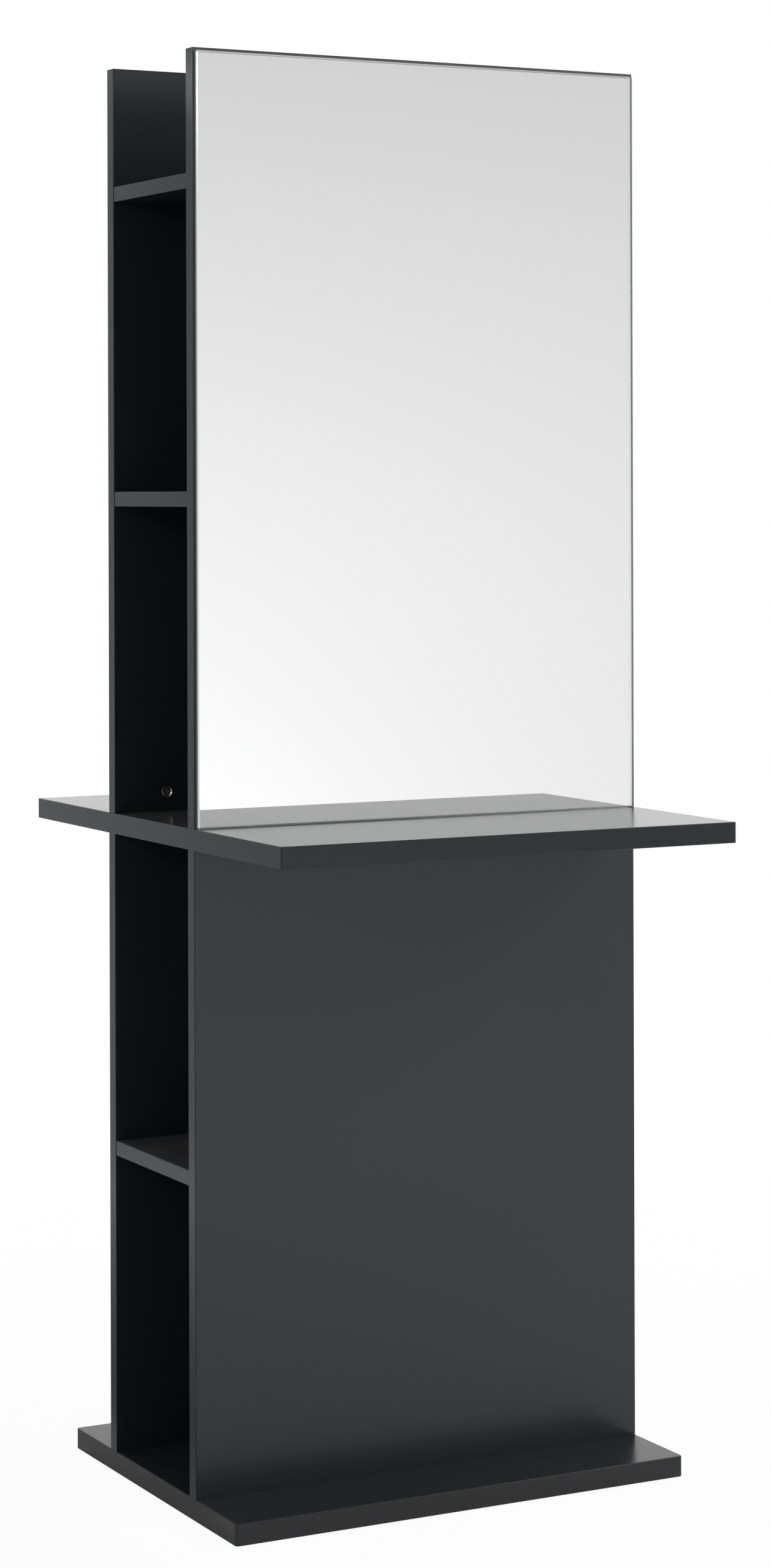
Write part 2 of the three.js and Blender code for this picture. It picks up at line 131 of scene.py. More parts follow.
class Patch:
    """Adds nodes to one shader tree and wires them."""

    def __init__(self, tree: bpy.types.NodeTree) -> None:
        """Keep the tree that the nodes go in."""
        self.tree = tree

    @classmethod
    def fresh(cls, owner: bpy.types.Material | bpy.types.World) -> "Patch":
        """Start an empty shader tree.

        Args:
            owner: The material or world that the tree belongs to.

        Returns:
            A patch for the tree.
        """
        owner.use_nodes = True
        owner.node_tree.nodes.clear()
        return cls(owner.node_tree)

    def add(self, kind: str, **settings: object) -> Node:
        """Add one node.

        Args:
            kind: The node's type name.
            settings: Properties to set on it.

        Returns:
            The new node.
        """
        node = self.tree.nodes.new(kind)
        for key, value in settings.items():
            setattr(node, key, value)
        return node

    def feed(self, socket: Socket, source: Feed) -> None:
        """Link a socket to another one, or set its value.

        Args:
            socket: The input.
            source: What goes into it.
        """
        if isinstance(source, Socket):
            self.tree.links.new(source, socket)
        else:
            socket.default_value = source

    def wire(self, node: Node, **sources: Feed) -> Node:
        """Feed several inputs of a node.

        Args:
            node: The node.
            sources: What goes into each input, by its name with _ for a space.

        Returns:
            The same node.
        """
        for name, source in sources.items():
            self.feed(node.inputs[name.replace("_", " ")], source)
        return node

    def math(self, operation: str, *values: Feed) -> Socket:
        """Take one arithmetic step.

        Args:
            operation: The step's name.
            values: The one or two values that it takes.

        Returns:
            The step's result.
        """
        node = self.add("ShaderNodeMath", operation=operation)
        for socket, value in zip(node.inputs, values):
            self.feed(socket, value)
        return node.outputs[0]

    def product(self, *values: Feed) -> Socket:
        """Multiply two or more values."""
        return functools.reduce(functools.partial(self.math, "MULTIPLY"), values)

    def ramp(self, value: Feed, low: Feed, high: Feed, at_low: Feed, at_high: Feed) -> Socket:
        """Turn a range of values smoothly into another range.

        Args:
            value: What is read.
            low: Where the ramp starts.
            high: Where it ends.
            at_low: The result up to low.
            at_high: The result from high on.

        Returns:
            The ramp's result.
        """
        node = self.add("ShaderNodeMapRange", interpolation_type="SMOOTHSTEP")
        self.wire(node, Value=value, From_Min=low, From_Max=high, To_Min=at_low, To_Max=at_high)
        return node.outputs["Result"]

    def vary(self, mask: Feed, at_none: Feed, at_full: Feed) -> Socket:
        """Let a value follow a mask from one end to the other."""
        return self.ramp(mask, 0.0, 1.0, at_none, at_full)

    def blend(self, amount: Feed, first: Feed, second: Feed) -> Socket:
        """Mix two colours by a changing amount.

        Args:
            amount: 0 for the first colour, 1 for the second.
            first: The first colour.
            second: The second colour.

        Returns:
            The mixed colour.
        """
        node = self.add("ShaderNodeMix", data_type="RGBA")
        self.feed(node.inputs["Factor"], amount)
        colours = [socket for socket in node.inputs if socket.type == "RGBA"]
        for socket, source in zip(colours, (first, second)):
            self.feed(socket, (*source, 1.0) if isinstance(source, tuple) else source)
        return next(socket for socket in node.outputs if socket.type == "RGBA")

    def noise(self, where: Feed, size: Feed, detail: float, distortion: float = 0.0) -> Socket:
        """Soft noise.

        Args:
            where: The place that it is read at.
            size: About how large its lumps are, in metres.
            detail: How many finer layers it has.
            distortion: How far its lumps are bent.

        Returns:
            The noise, from 0 to 1.
        """
        scale = 1.0 / size if isinstance(size, float) else self.math("DIVIDE", 1.0, size)
        node = self.add("ShaderNodeTexNoise")
        self.wire(node, Vector=where, Scale=scale, Detail=detail, Distortion=distortion)
        return node.outputs["Fac"]

    def group(self, effect: bpy.types.NodeTree, **values: Feed) -> Node:
        """Place a shared effect with its own values."""
        return self.wire(self.add("ShaderNodeGroup", node_tree=effect), **values)

    def bump(self, height: Feed, distance: float) -> Socket:
        """A normal from a height map of the given depth in metres."""
        node = self.wire(self.add("ShaderNodeBump"), Distance=distance, Height=height)
        return node.outputs["Normal"]

    def place(self) -> Socket:
        """Where a point is on the object."""
        return self.add("ShaderNodeTexCoord").outputs["Object"]

    def split(self, vector: Socket) -> bpy.types.NodeOutputs:
        """The three coordinates of a place or a way."""
        return self.wire(self.add("ShaderNodeSeparateXYZ"), Vector=vector).outputs


@dataclass(frozen=True)
class Cloud:
    """A mask of soft noise: the size of its lumps, where it rises to 1 and the least it may be."""

    size: float
    detail: float
    span: Span
    least: float

    def mask(self, patch: Patch, where: Feed) -> Socket:
        """Wire the mask at a place."""
        return patch.ramp(patch.noise(where, self.size, self.detail), *self.span, self.least, 1.0)


Group = tuple[Patch, dict[str, Socket], Node]


class Effects:
    """Surface effects that several finishes share, each one node group built once."""

    PEARL_BROAD = 3.5
    MARK_BEND = 0.8
    MARK_FADE = 0.25
    STREAKS = Cloud(size=12.0 * MM, detail=2.0, span=(0.3, 0.7), least=0.4)
    STREAK_SCALE = (1.0, 1.0, 0.25)
    STREAK_TURN = (0.3, 0.2, 0.4)
    SHELTER_FADE = 4.0 * MM
    LEVEL_SPAN = (0.7, 0.95)
    DRIFTS = Cloud(size=60.0 * MM, detail=4.0, span=(0.3, 0.7), least=0.7)
    SPECKS = Cloud(size=1.1 * MM, detail=2.0, span=(0.35, 0.7), least=0.75)
    EDGE_SAMPLES = 6
    EDGE_SPAN = (0.72, 0.99)
    BREAKS = Cloud(size=20.0 * MM, detail=3.0, span=(0.35, 0.65), least=0.35)
    SKIN_BROAD = 6.0
    SKIN_SPAN = (0.3, 0.7)
    FIBRE_SCALE = (1.0, 0.08, 1.0)
    FIBRE_BEND = 0.4
    FIBRE_SPAN = (0.25, 0.75)

    @staticmethod
    def start(name: str, inputs: Sequence[str], outputs: Sequence[str]) -> Group:
        """Open a new group.

        Args:
            name: The group's name.
            inputs: The names of its input values.
            outputs: The names of its output values.

        Returns:
            Its patch, its input sockets by name and its output node.
        """
        tree = bpy.data.node_groups.new(name, "ShaderNodeTree")
        for side, keys in (("INPUT", inputs), ("OUTPUT", outputs)):
            for key in keys:
                tree.interface.new_socket(name=key, in_out=side, socket_type="NodeSocketFloat")
        patch = Patch(tree)
        source = patch.add("NodeGroupInput")
        return patch, {key: source.outputs[key] for key in inputs}, patch.add("NodeGroupOutput")

    @classmethod
    @functools.cache
    def pearl(cls) -> bpy.types.NodeTree:
        """The fine orange-peel texture that a press plate leaves.

        Returns:
            A group with a height, in lumps of the given cell.
        """
        patch, given, result = cls.start("pearl_texture", ["Cell"], ["Height"])
        where = patch.place()
        fine = patch.noise(where, given["Cell"], detail=1.0)
        broad = patch.noise(where, patch.product(given["Cell"], cls.PEARL_BROAD), detail=1.0)
        patch.wire(result, Height=patch.math("ADD", fine, broad))
        return patch.tree

    @classmethod
    @functools.cache
    def marks(cls) -> bpy.types.NodeTree:
        """Faint wiped patches from handling and cleaning.

        Returns:
            A group with their mask.
        """
        patch, given, result = cls.start("wiped_marks", ["Size", "Cover"], ["Mask"])
        where = patch.place()
        broad = patch.noise(where, given["Size"], detail=3.0, distortion=cls.MARK_BEND)
        edge = patch.math("SUBTRACT", 1.0, given["Cover"])
        limit = patch.math("ADD", edge, cls.MARK_FADE)
        cloud = patch.ramp(broad, edge, limit, 0.0, 1.0)
        wiped = patch.add("ShaderNodeMapping")
        patch.wire(wiped, Vector=where, Scale=cls.STREAK_SCALE, Rotation=cls.STREAK_TURN)
        streaks = cls.STREAKS.mask(patch, wiped.outputs["Vector"])
        patch.wire(result, Mask=patch.product(cloud, streaks))
        return patch.tree

    @classmethod
    @functools.cache
    def dust_and_painted_light(cls) -> bpy.types.NodeTree:
        """Settled dirt and painted light from the open ends, on level tops between the panels.

        Returns:
            A group with its mask.
        """
        patch, given, result = cls.start("dust_and_painted_light", ["Shelter", "Amount"], ["Mask"])
        where = patch.place()
        aside = patch.math("ABSOLUTE", patch.split(where)["Y"])
        open_from = patch.math("ADD", given["Shelter"], cls.SHELTER_FADE)
        sheltered = patch.ramp(aside, given["Shelter"], open_from, 1.0, 0.0)
        normal = patch.add("ShaderNodeNewGeometry").outputs["Normal"]
        flat = patch.ramp(patch.split(normal)["Z"], *cls.LEVEL_SPAN, 0.0, 1.0)
        drift = cls.DRIFTS.mask(patch, where)
        speck = cls.SPECKS.mask(patch, where)
        patch.wire(result, Mask=patch.product(drift, speck, flat, sheltered, given["Amount"]))
        return patch.tree

    @classmethod
    @functools.cache
    def rubbed_edges(cls) -> bpy.types.NodeTree:
        """Edges polished by use.

        Returns:
            A group with a mask that breaks up along them.
        """
        patch, given, result = cls.start("rubbed_edges", ["Reach"], ["Mask"])
        rounded = patch.add("ShaderNodeBevel", samples=cls.EDGE_SAMPLES)
        patch.wire(rounded, Radius=given["Reach"])
        turn = patch.add("ShaderNodeVectorMath", operation="DOT_PRODUCT")
        patch.feed(turn.inputs[0], rounded.outputs["Normal"])
        patch.feed(turn.inputs[1], patch.add("ShaderNodeNewGeometry").outputs["True Normal"])
        edge = patch.ramp(turn.outputs["Value"], *cls.EDGE_SPAN, 1.0, 0.0)
        broken = cls.BREAKS.mask(patch, patch.place())
        patch.wire(result, Mask=patch.product(edge, broken))
        return patch.tree

    @classmethod
    @functools.cache
    def cast_skin(cls) -> bpy.types.NodeTree:
        """The lumpy skin of a small casting or a plated turning.

        Returns:
            A group with a height and a tone.
        """
        patch, given, result = cls.start("cast_skin", ["Cell"], ["Height", "Tone"])
        where = patch.place()
        fine = patch.noise(where, given["Cell"], detail=3.0)
        broad = patch.noise(where, patch.product(given["Cell"], cls.SKIN_BROAD), detail=2.0)
        patch.wire(result, Height=fine, Tone=patch.ramp(broad, *cls.SKIN_SPAN, 0.0, 1.0))
        return patch.tree

    @classmethod
    @functools.cache
    def fibres(cls) -> bpy.types.NodeTree:
        """Long wood fibres along Y.

        Returns:
            A group with a tone and a height.
        """
        patch, given, result = cls.start("wood_fibres", ["Cell"], ["Tone", "Height"])
        stretch = patch.add("ShaderNodeMapping")
        patch.wire(stretch, Vector=patch.place(), Scale=cls.FIBRE_SCALE)
        along = stretch.outputs["Vector"]
        grain = patch.noise(along, given["Cell"], detail=4.0, distortion=cls.FIBRE_BEND)
        patch.wire(result, Tone=patch.ramp(grain, *cls.FIBRE_SPAN, 0.0, 1.0), Height=grain)
        return patch.tree


@dataclass(frozen=True)
class Finish:
    """A surface finish that becomes one material."""

    name: str

    def build(self) -> bpy.types.Material:
        """Make the material.

        Returns:
            The finished material.
        """
        material = bpy.data.materials.new(self.name)
        patch = Patch.fresh(material)
        shader = patch.add("ShaderNodeBsdfPrincipled")
        patch.wire(patch.add("ShaderNodeOutputMaterial"), Surface=shader.outputs["BSDF"])
        self.dress(patch, shader)
        return material

    def dress(self, patch: Patch, shader: Node) -> None:
        """Wire this finish's own look into the shader."""
        raise NotImplementedError


@functools.cache
def material_for(finish: Finish) -> bpy.types.Material:
    """The one material of a finish."""
    return finish.build()


@dataclass(frozen=True)
class Melamine(Finish):
    """Black satin facing with a fine pearl texture, faint wipe marks and perhaps settled dirt with
    painted light on level tops between the panels.
    """

    name: str = "black_melamine"
    black: Colour = (0.0150, 0.0186, 0.0211)
    wiped: Colour = (0.0180, 0.0217, 0.0243)
    roughness: float = 0.26
    wiped_roughness: float = 0.31
    mark_size: float = 0.28
    mark_cover: float = 0.5
    cell: float = 1.3 * MM
    depth: float = 0.006 * MM
    dust_and_light: Colour = (0.082, 0.082, 0.082)
    dust_and_light_amount: float = 0.0
    shelter: float = 106.0 * MM
    coat: float = 0.0
    coat_roughness: float = 0.2

    def dress(self, patch: Patch, shader: Node) -> None:
        """Wire the pearl bump, the wipe marks and the settled dirt with painted light.

        Args:
            patch: The material's patch.
            shader: Its shader.
        """
        marks = patch.group(Effects.marks(), Size=self.mark_size, Cover=self.mark_cover)
        mask = marks.outputs["Mask"]
        tone = patch.blend(mask, self.black, self.wiped)
        # Settled dirt and painted light: a lighter colour on level tops between the panels, as if lit
        # through the open ends
        if self.dust_and_light_amount:
            dusty_light = patch.group(Effects.dust_and_painted_light(), Shelter=self.shelter, Amount=self.dust_and_light_amount)
            tone = patch.blend(dusty_light.outputs["Mask"], tone, self.dust_and_light)
        pearl = patch.group(Effects.pearl(), Cell=self.cell)
        patch.wire(
            shader,
            Base_Color=tone,
            Roughness=patch.vary(mask, self.roughness, self.wiped_roughness),
            Coat_Weight=self.coat,
            Coat_Roughness=self.coat_roughness,
            Normal=patch.bump(pearl.outputs["Height"], self.depth),
        )


@dataclass(frozen=True)
class EdgeBandPlastic(Finish):
    """Black plastic edge band with dull patches from handling, smoother where the arris is rubbed."""

    name: str = "black_edge_band"
    black: Colour = (0.0098, 0.0136, 0.0165)
    handled: Colour = (0.0122, 0.0162, 0.0192)
    rubbed: Colour = (0.022, 0.025, 0.027)
    roughness: float = 0.20
    handled_roughness: float = 0.27
    rubbed_roughness: float = 0.18
    mark_size: float = 0.07
    mark_cover: float = 0.5
    rub_reach: float = 0.7 * MM
    ior: float = 1.40
    cell: float = 2.4 * MM
    depth: float = 0.008 * MM

    def dress(self, patch: Patch, shader: Node) -> None:
        """Wire the extruded texture, the dull patches and the rubbed arris.

        Args:
            patch: The material's patch.
            shader: Its shader.
        """
        rub = patch.group(Effects.rubbed_edges(), Reach=self.rub_reach).outputs["Mask"]
        marks = patch.group(Effects.marks(), Size=self.mark_size, Cover=self.mark_cover)
        dull = marks.outputs["Mask"]
        tone = patch.blend(dull, self.black, self.handled)
        matt = patch.vary(dull, self.roughness, self.handled_roughness)
        pearl = patch.group(Effects.pearl(), Cell=self.cell)
        patch.wire(
            shader,
            Base_Color=patch.blend(rub, tone, self.rubbed),
            Roughness=patch.vary(rub, matt, self.rubbed_roughness),
            IOR=self.ior,
            Normal=patch.bump(pearl.outputs["Height"], self.depth),
        )


@dataclass(frozen=True)
class Chipboard(Finish):
    """Raw chipboard in drilled holes and on edges that another board covers."""

    name: str = "raw_chipboard"
    pale: Colour = (0.42, 0.29, 0.17)
    dark: Colour = (0.16, 0.095, 0.05)
    chip: float = 2.5 * MM
    shade_span: Span = (0.05, 0.7)
    roughness: float = 0.9
    depth: float = 0.1 * MM

    def dress(self, patch: Patch, shader: Node) -> None:
        """Wire the pressed chips.

        Args:
            patch: The material's patch.
            shader: Its shader.
        """
        chips = patch.add("ShaderNodeTexVoronoi", feature="F1")
        patch.wire(chips, Vector=patch.place(), Scale=1.0 / self.chip)
        out = chips.outputs["Distance"]
        tone = patch.ramp(out, *self.shade_span, 0.0, 1.0)
        patch.wire(
            shader,
            Base_Color=patch.blend(tone, self.pale, self.dark),
            Roughness=self.roughness,
            Normal=patch.bump(out, self.depth),
        )


@dataclass(frozen=True)
class Silvering(Finish):
    """The silver behind the mirror's glass, with the faintest unevenness."""

    name: str = "silvering"
    silver: Colour = (0.966, 0.969, 0.968)
    thin: Colour = (0.960, 0.964, 0.963)
    mark_size: float = 0.35
    mark_cover: float = 0.4

    def dress(self, patch: Patch, shader: Node) -> None:
        """Wire the silver.

        Args:
            patch: The material's patch.
            shader: Its shader.
        """
        marks = patch.group(Effects.marks(), Size=self.mark_size, Cover=self.mark_cover)
        tone = patch.blend(marks.outputs["Mask"], self.silver, self.thin)
        patch.wire(shader, Base_Color=tone, Metallic=1.0, Roughness=0.0)


@dataclass(frozen=True)
class FloatGlass(Finish):
    """Clear float glass, with the trace that a cloth leaves on it."""

    name: str = "float_glass"
    clear: Colour = (0.990, 0.997, 0.993)
    smeared: Colour = (0.984, 0.992, 0.988)
    roughness: float = 0.0
    smear_roughness: float = 0.015
    mark_size: float = 0.35
    mark_cover: float = 0.35
    ior: float = 1.52

    def dress(self, patch: Patch, shader: Node) -> None:
        """Wire the glass and its trace of smear.

        Args:
            patch: The material's patch.
            shader: Its shader.
        """
        marks = patch.group(Effects.marks(), Size=self.mark_size, Cover=self.mark_cover)
        mask = marks.outputs["Mask"]
        patch.wire(
            shader,
            Base_Color=patch.blend(mask, self.clear, self.smeared),
            Roughness=patch.vary(mask, self.roughness, self.smear_roughness),
            Transmission_Weight=1.0,
            IOR=self.ior,
        )


@dataclass(frozen=True)
class SkinnedFinish(Finish):
    """Moulded plastic and the like: colour and roughness follow the tone of a lumpy skin."""

    plain: Colour
    toned: Colour
    smooth: float
    rough: float
    cell: float
    depth: float

    def dress(self, patch: Patch, shader: Node) -> None:
        """Wire the skin.

        Args:
            patch: The material's patch.
            shader: Its shader.
        """
        skin = patch.group(Effects.cast_skin(), Cell=self.cell)
        tone = self.worn(patch, skin.outputs["Tone"])
        patch.wire(
            shader,
            Base_Color=patch.blend(tone, self.plain, self.toned),
            Roughness=patch.vary(tone, self.smooth, self.rough),
            Normal=patch.bump(skin.outputs["Height"], self.depth),
        )

    def worn(self, patch: Patch, tone: Socket) -> Socket:
        """The skin's tone after use, which is as it was."""
        return tone


@dataclass(frozen=True)
class GroundGlass(SkinnedFinish):
    """The ground edge of a pane, a cloudy grey green."""

    name: str = "ground_glass_edge"
    plain: Colour = (0.42, 0.47, 0.45)
    toned: Colour = (0.38, 0.43, 0.41)
    smooth: float = 0.38
    rough: float = 0.44
    cell: float = 1.2 * MM
    depth: float = 0.0015 * MM
    clear: float = 0.35

    def dress(self, patch: Patch, shader: Node) -> None:
        """Wire the grinding marks into cloudy glass."""
        patch.wire(shader, Transmission_Weight=self.clear)
        super().dress(patch, shader)


@dataclass(frozen=True)
class PlatedMetal(SkinnedFinish):
    """Plated metal with a cast or turned skin and tarnish in its tone."""

    smooth: float = 0.28
    rough: float = 0.46
    cell: float = 0.5 * MM
    depth: float = 0.012 * MM
    rub_reach: float = 0.3 * MM

    def dress(self, patch: Patch, shader: Node) -> None:
        """Wire the skin and the tarnish into metal."""
        patch.wire(shader, Metallic=1.0)
        super().dress(patch, shader)

    def worn(self, patch: Patch, tone: Socket) -> Socket:
        """The tarnish that is left where no edge is rubbed."""
        rub = patch.group(Effects.rubbed_edges(), Reach=self.rub_reach).outputs["Mask"]
        return patch.product(tone, patch.math("SUBTRACT", 1.0, rub))


@dataclass(frozen=True)
class BackingPaint(Finish):
    """The painted back of a mirror."""

    name: str = "mirror_backing_paint"
    grey: Colour = (0.10, 0.105, 0.11)
    pale: Colour = (0.15, 0.155, 0.16)
    roughness: float = 0.6
    cell: float = 2.0 * MM
    depth: float = 0.02 * MM

    def dress(self, patch: Patch, shader: Node) -> None:
        """Wire the curtain-coated paint.

        Args:
            patch: The material's patch.
            shader: Its shader.
        """
        skin = patch.group(Effects.cast_skin(), Cell=self.cell)
        patch.wire(
            shader,
            Base_Color=patch.blend(skin.outputs["Tone"], self.grey, self.pale),
            Roughness=self.roughness,
            Normal=patch.bump(skin.outputs["Height"], self.depth),
        )


@dataclass(frozen=True)
class Beech(Finish):
    """Plain beech dowel."""

    name: str = "beech"
    pale: Colour = (0.58, 0.38, 0.21)
    dark: Colour = (0.36, 0.20, 0.10)
    roughness: float = 0.65
    cell: float = 0.5 * MM
    depth: float = 0.03 * MM

    def dress(self, patch: Patch, shader: Node) -> None:
        """Wire the fibres.

        Args:
            patch: The material's patch.
            shader: Its shader.
        """
        grain = patch.group(Effects.fibres(), Cell=self.cell)
        patch.wire(
            shader,
            Base_Color=patch.blend(grain.outputs["Tone"], self.dark, self.pale),
            Roughness=self.roughness,
            Normal=patch.bump(grain.outputs["Height"], self.depth),
        )


MELAMINE = Melamine()
# The counter and the shelves carry settled dirt and painted light on their tops between the panels
COUNTER_MELAMINE = Melamine(
    name="counter_melamine",
    roughness=0.24,
    wiped_roughness=0.28,
    dust_and_light=(0.10, 0.10, 0.10),
    dust_and_light_amount=1.0,
    coat=0.7,
    coat_roughness=0.22,
)
SHELF_MELAMINE = Melamine(name="shelf_melamine", dust_and_light_amount=0.8)
# The panel's face under and beside a mirror: a lighter copy of the melamine, painted light where the
# mirror's thick edge shades the border beside it
MIRROR_BED_PAINTED_LIGHT = Melamine(
    name="melamine_painted_light",
    black=(0.060, 0.063, 0.065),
    wiped=(0.068, 0.071, 0.073),
    roughness=0.38,
    wiped_roughness=0.45,
)
EDGE_BAND = EdgeBandPlastic()
# The band's face beside a mirror: a lighter copy of the band, painted light where the mirror's thick
# edge shades it
BAND_PAINTED_LIGHT = EdgeBandPlastic(
    name="edge_band_painted_light",
    black=(0.050, 0.053, 0.055),
    handled=(0.058, 0.061, 0.063),
    rubbed=(0.060, 0.063, 0.065),
    roughness=0.34,
    handled_roughness=0.40,
    rubbed_roughness=0.32,
)
# The base's band: a lighter copy of the band, painted light that makes up for the shaded floor it
# reflects
BASE_BAND_PAINTED_LIGHT = EdgeBandPlastic(
    name="base_band_painted_light",
    black=(0.0315, 0.0325, 0.0335),
    handled=(0.0340, 0.0350, 0.0360),
    rubbed=(0.042, 0.043, 0.044),
    roughness=0.28,
    handled_roughness=0.34,
    rubbed_roughness=0.26,
    ior=1.30,
)
CHIPBOARD = Chipboard()
SILVERING = Silvering()
GLASS = FloatGlass()
GLASS_ARRIS = FloatGlass(name="polished_glass_arris", roughness=0.19, smear_roughness=0.22)
GLASS_MATT_ARRIS = FloatGlass(name="matt_glass_arris", roughness=0.42, smear_roughness=0.48)
GLASS_EDGE = GroundGlass()
BACKING = BackingPaint()
CAM_ZINC = PlatedMetal(
    name="cam_zinc",
    plain=(0.66, 0.62, 0.55),
    toned=(0.44, 0.41, 0.36),
    smooth=0.19,
    rough=0.30,
    depth=0.004 * MM,
)
STEEL = PlatedMetal(
    name="plated_steel",
    plain=(0.70, 0.70, 0.67),
    toned=(0.48, 0.47, 0.43),
    cell=0.3 * MM,
)
BEECH = Beech()
GLIDE_PLASTIC = SkinnedFinish(
    name="glide_plastic",
    plain=(0.012, 0.012, 0.013),
    toned=(0.022, 0.022, 0.023),
    smooth=0.42,
    rough=0.58,
    cell=0.4 * MM,
    depth=0.02 * MM,
)
FOAM = SkinnedFinish(
    name="foam_tape",
    plain=(0.020, 0.020, 0.021),
    toned=(0.05, 0.05, 0.05),
    smooth=0.85,
    rough=0.95,
    cell=0.7 * MM,
    depth=0.15 * MM,
)


# Modelling

EdgePick = Callable[[Edge], bool]
FacePick = Callable[[bmesh.types.BMFace], bool]
FinishPick = Callable[[Polygon], Finish]


class Bench:
    """Models one piece at a time with operators, as by hand."""

    @staticmethod
    def clear() -> None:
        """Deselect everything."""
        bpy.ops.object.select_all(action="DESELECT")

    @staticmethod
    def hold(piece: Piece) -> None:
        """Make one piece the only selected and active one.

        Args:
            piece: The piece.
        """
        Bench.clear()
        piece.select_set(True)
        bpy.context.view_layer.objects.active = piece

    @staticmethod
    def settle(name: str) -> Piece:
        """Name the new primitive and move its place into its mesh.

        Args:
            name: The piece's name.

        Returns:
            The piece, with its object at the origin.
        """
        piece = bpy.context.object
        piece.name = name
        piece.data.name = name
        bpy.ops.object.transform_apply(location=True, rotation=True, scale=True)
        return piece

    @staticmethod
    def block(name: str, low: Vector, high: Vector) -> Piece:
        """A square block between two corners.

        Args:
            name: The block's name.
            low: Its lowest corner.
            high: Its highest corner.

        Returns:
            The block.
        """
        Bench.clear()
        bpy.ops.mesh.primitive_cube_add(size=1.0, location=(low + high) / 2)
        bpy.context.object.scale = high - low
        return Bench.settle(name)

    @staticmethod
    def rod(name: str, start: Vector, end: Vector, radius: float, sides: int) -> Piece:
        """A round rod between two points.

        Args:
            name: The rod's name.
            start: The middle of one end.
            end: The middle of the other.
            radius: Its radius.
            sides: Facets round its axis.

        Returns:
            The rod.
        """
        Bench.clear()
        axis = end - start
        bpy.ops.mesh.primitive_cylinder_add(
            vertices=sides,
            radius=radius,
            depth=axis.length,
            location=(start + end) / 2,
            rotation=axis.to_track_quat("Z", "Y").to_euler(),
        )
        return Bench.settle(name)

    @staticmethod
    def turn(name: str, profile: Sequence[Span], sides: int) -> Piece:
        """Turn a solid about Z, as on a lathe.

        Args:
            name: The piece's name.
            profile: Heights and radii, from one end to the other.
            sides: Facets round the axis.

        Returns:
            The solid.
        """
        (level, radius), *rest = profile
        Bench.clear()
        bpy.ops.mesh.primitive_circle_add(
            vertices=sides, radius=radius, fill_type="NGON", location=(0, 0, level)
        )
        piece = Bench.settle(name)
        Bench.pick_faces(piece, lambda face: True)
        for height, wide in rest:
            Bench.step(level, height, wide / radius)
            level, radius = height, wide
        bpy.ops.mesh.select_all(action="SELECT")
        bpy.ops.mesh.normals_make_consistent(inside=False)
        Bench.leave()
        return piece

    @staticmethod
    def step(level: float, height: float, scale: float) -> None:
        """Extrude the selected face along Z and scale it about the axis.

        Args:
            level: The face's height.
            height: The height that it goes to.
            scale: How much wider it becomes there.
        """
        bpy.ops.mesh.extrude_region_move(TRANSFORM_OT_translate={"value": (0, 0, height - level)})
        bpy.ops.transform.resize(value=(scale, scale, 1), center_override=(0, 0, height))

    @staticmethod
    def enter(piece: Piece, kind: str) -> bmesh.types.BMesh:
        """Enter edit mode with nothing selected.

        Args:
            piece: The piece to edit.
            kind: What is going to be selected: VERT, EDGE or FACE.

        Returns:
            The mesh under edit.
        """
        Bench.hold(piece)
        bpy.ops.object.mode_set(mode="EDIT")
        bpy.ops.mesh.select_mode(type=kind)
        bpy.ops.mesh.select_all(action="DESELECT")
        return bmesh.from_edit_mesh(piece.data)

    @staticmethod
    def pick_edges(piece: Piece, pick: EdgePick) -> None:
        """Enter edit mode with only some edges selected.

        Args:
            piece: The piece to edit.
            pick: Says which edges.
        """
        mesh = Bench.enter(piece, "EDGE")
        for edge in mesh.edges:
            if pick(edge):
                edge.select_set(True)
        bmesh.update_edit_mesh(piece.data)

    @staticmethod
    def pick_faces(piece: Piece, pick: FacePick) -> None:
        """Enter edit mode with only some faces selected.

        Args:
            piece: The piece to edit.
            pick: Says which faces.
        """
        mesh = Bench.enter(piece, "FACE")
        for face in mesh.faces:
            if pick(face):
                face.select_set(True)
        bmesh.update_edit_mesh(piece.data)

    @staticmethod
    def leave() -> None:
        """Go back to object mode."""
        bpy.ops.object.mode_set(mode="OBJECT")

    @staticmethod
    def bevel(piece: Piece, pick: EdgePick, width: float, segments: int) -> None:
        """Round or chamfer some edges.

        Args:
            piece: The piece.
            pick: Says which edges.
            width: How far the rounding reaches.
            segments: Its facets, 1 for a chamfer.
        """
        Bench.pick_edges(piece, pick)
        bpy.ops.mesh.bevel(offset=width, segments=segments, affect="EDGES", clamp_overlap=True)
        Bench.leave()

    @staticmethod
    def drill(piece: Piece, cutters: Sequence[Piece]) -> None:
        """Cut other bodies out of a piece and throw them away.

        Args:
            piece: The piece.
            cutters: The bodies to cut out.
        """
        for cutter in cutters:
            Bench.hold(piece)
            modifier = piece.modifiers.new("cut", "BOOLEAN")
            modifier.operation = "DIFFERENCE"
            modifier.solver = "EXACT"
            modifier.object = cutter
            bpy.ops.object.modifier_apply(modifier=modifier.name)
            bpy.data.objects.remove(cutter, do_unlink=True)

    @staticmethod
    def join(name: str, pieces: Sequence[Piece]) -> Piece:
        """Make several bodies one piece.

        Args:
            name: The name of the whole.
            pieces: The bodies.

        Returns:
            The whole.
        """
        whole, *others = pieces
        Bench.hold(whole)
        for piece in others:
            piece.select_set(True)
        bpy.ops.object.join()
        whole.name = name
        whole.data.name = name
        return whole

    @staticmethod
    def smooth(piece: Piece) -> None:
        """Shade a piece smoothly, with its sharp edges kept and its flat faces flat.

        Args:
            piece: The piece.
        """
        Bench.hold(piece)
        bpy.ops.object.shade_smooth_by_angle(angle=SMOOTH)
        even = piece.modifiers.new("even", "WEIGHTED_NORMAL")
        even.keep_sharp = True
        bpy.ops.object.modifier_apply(modifier=even.name)

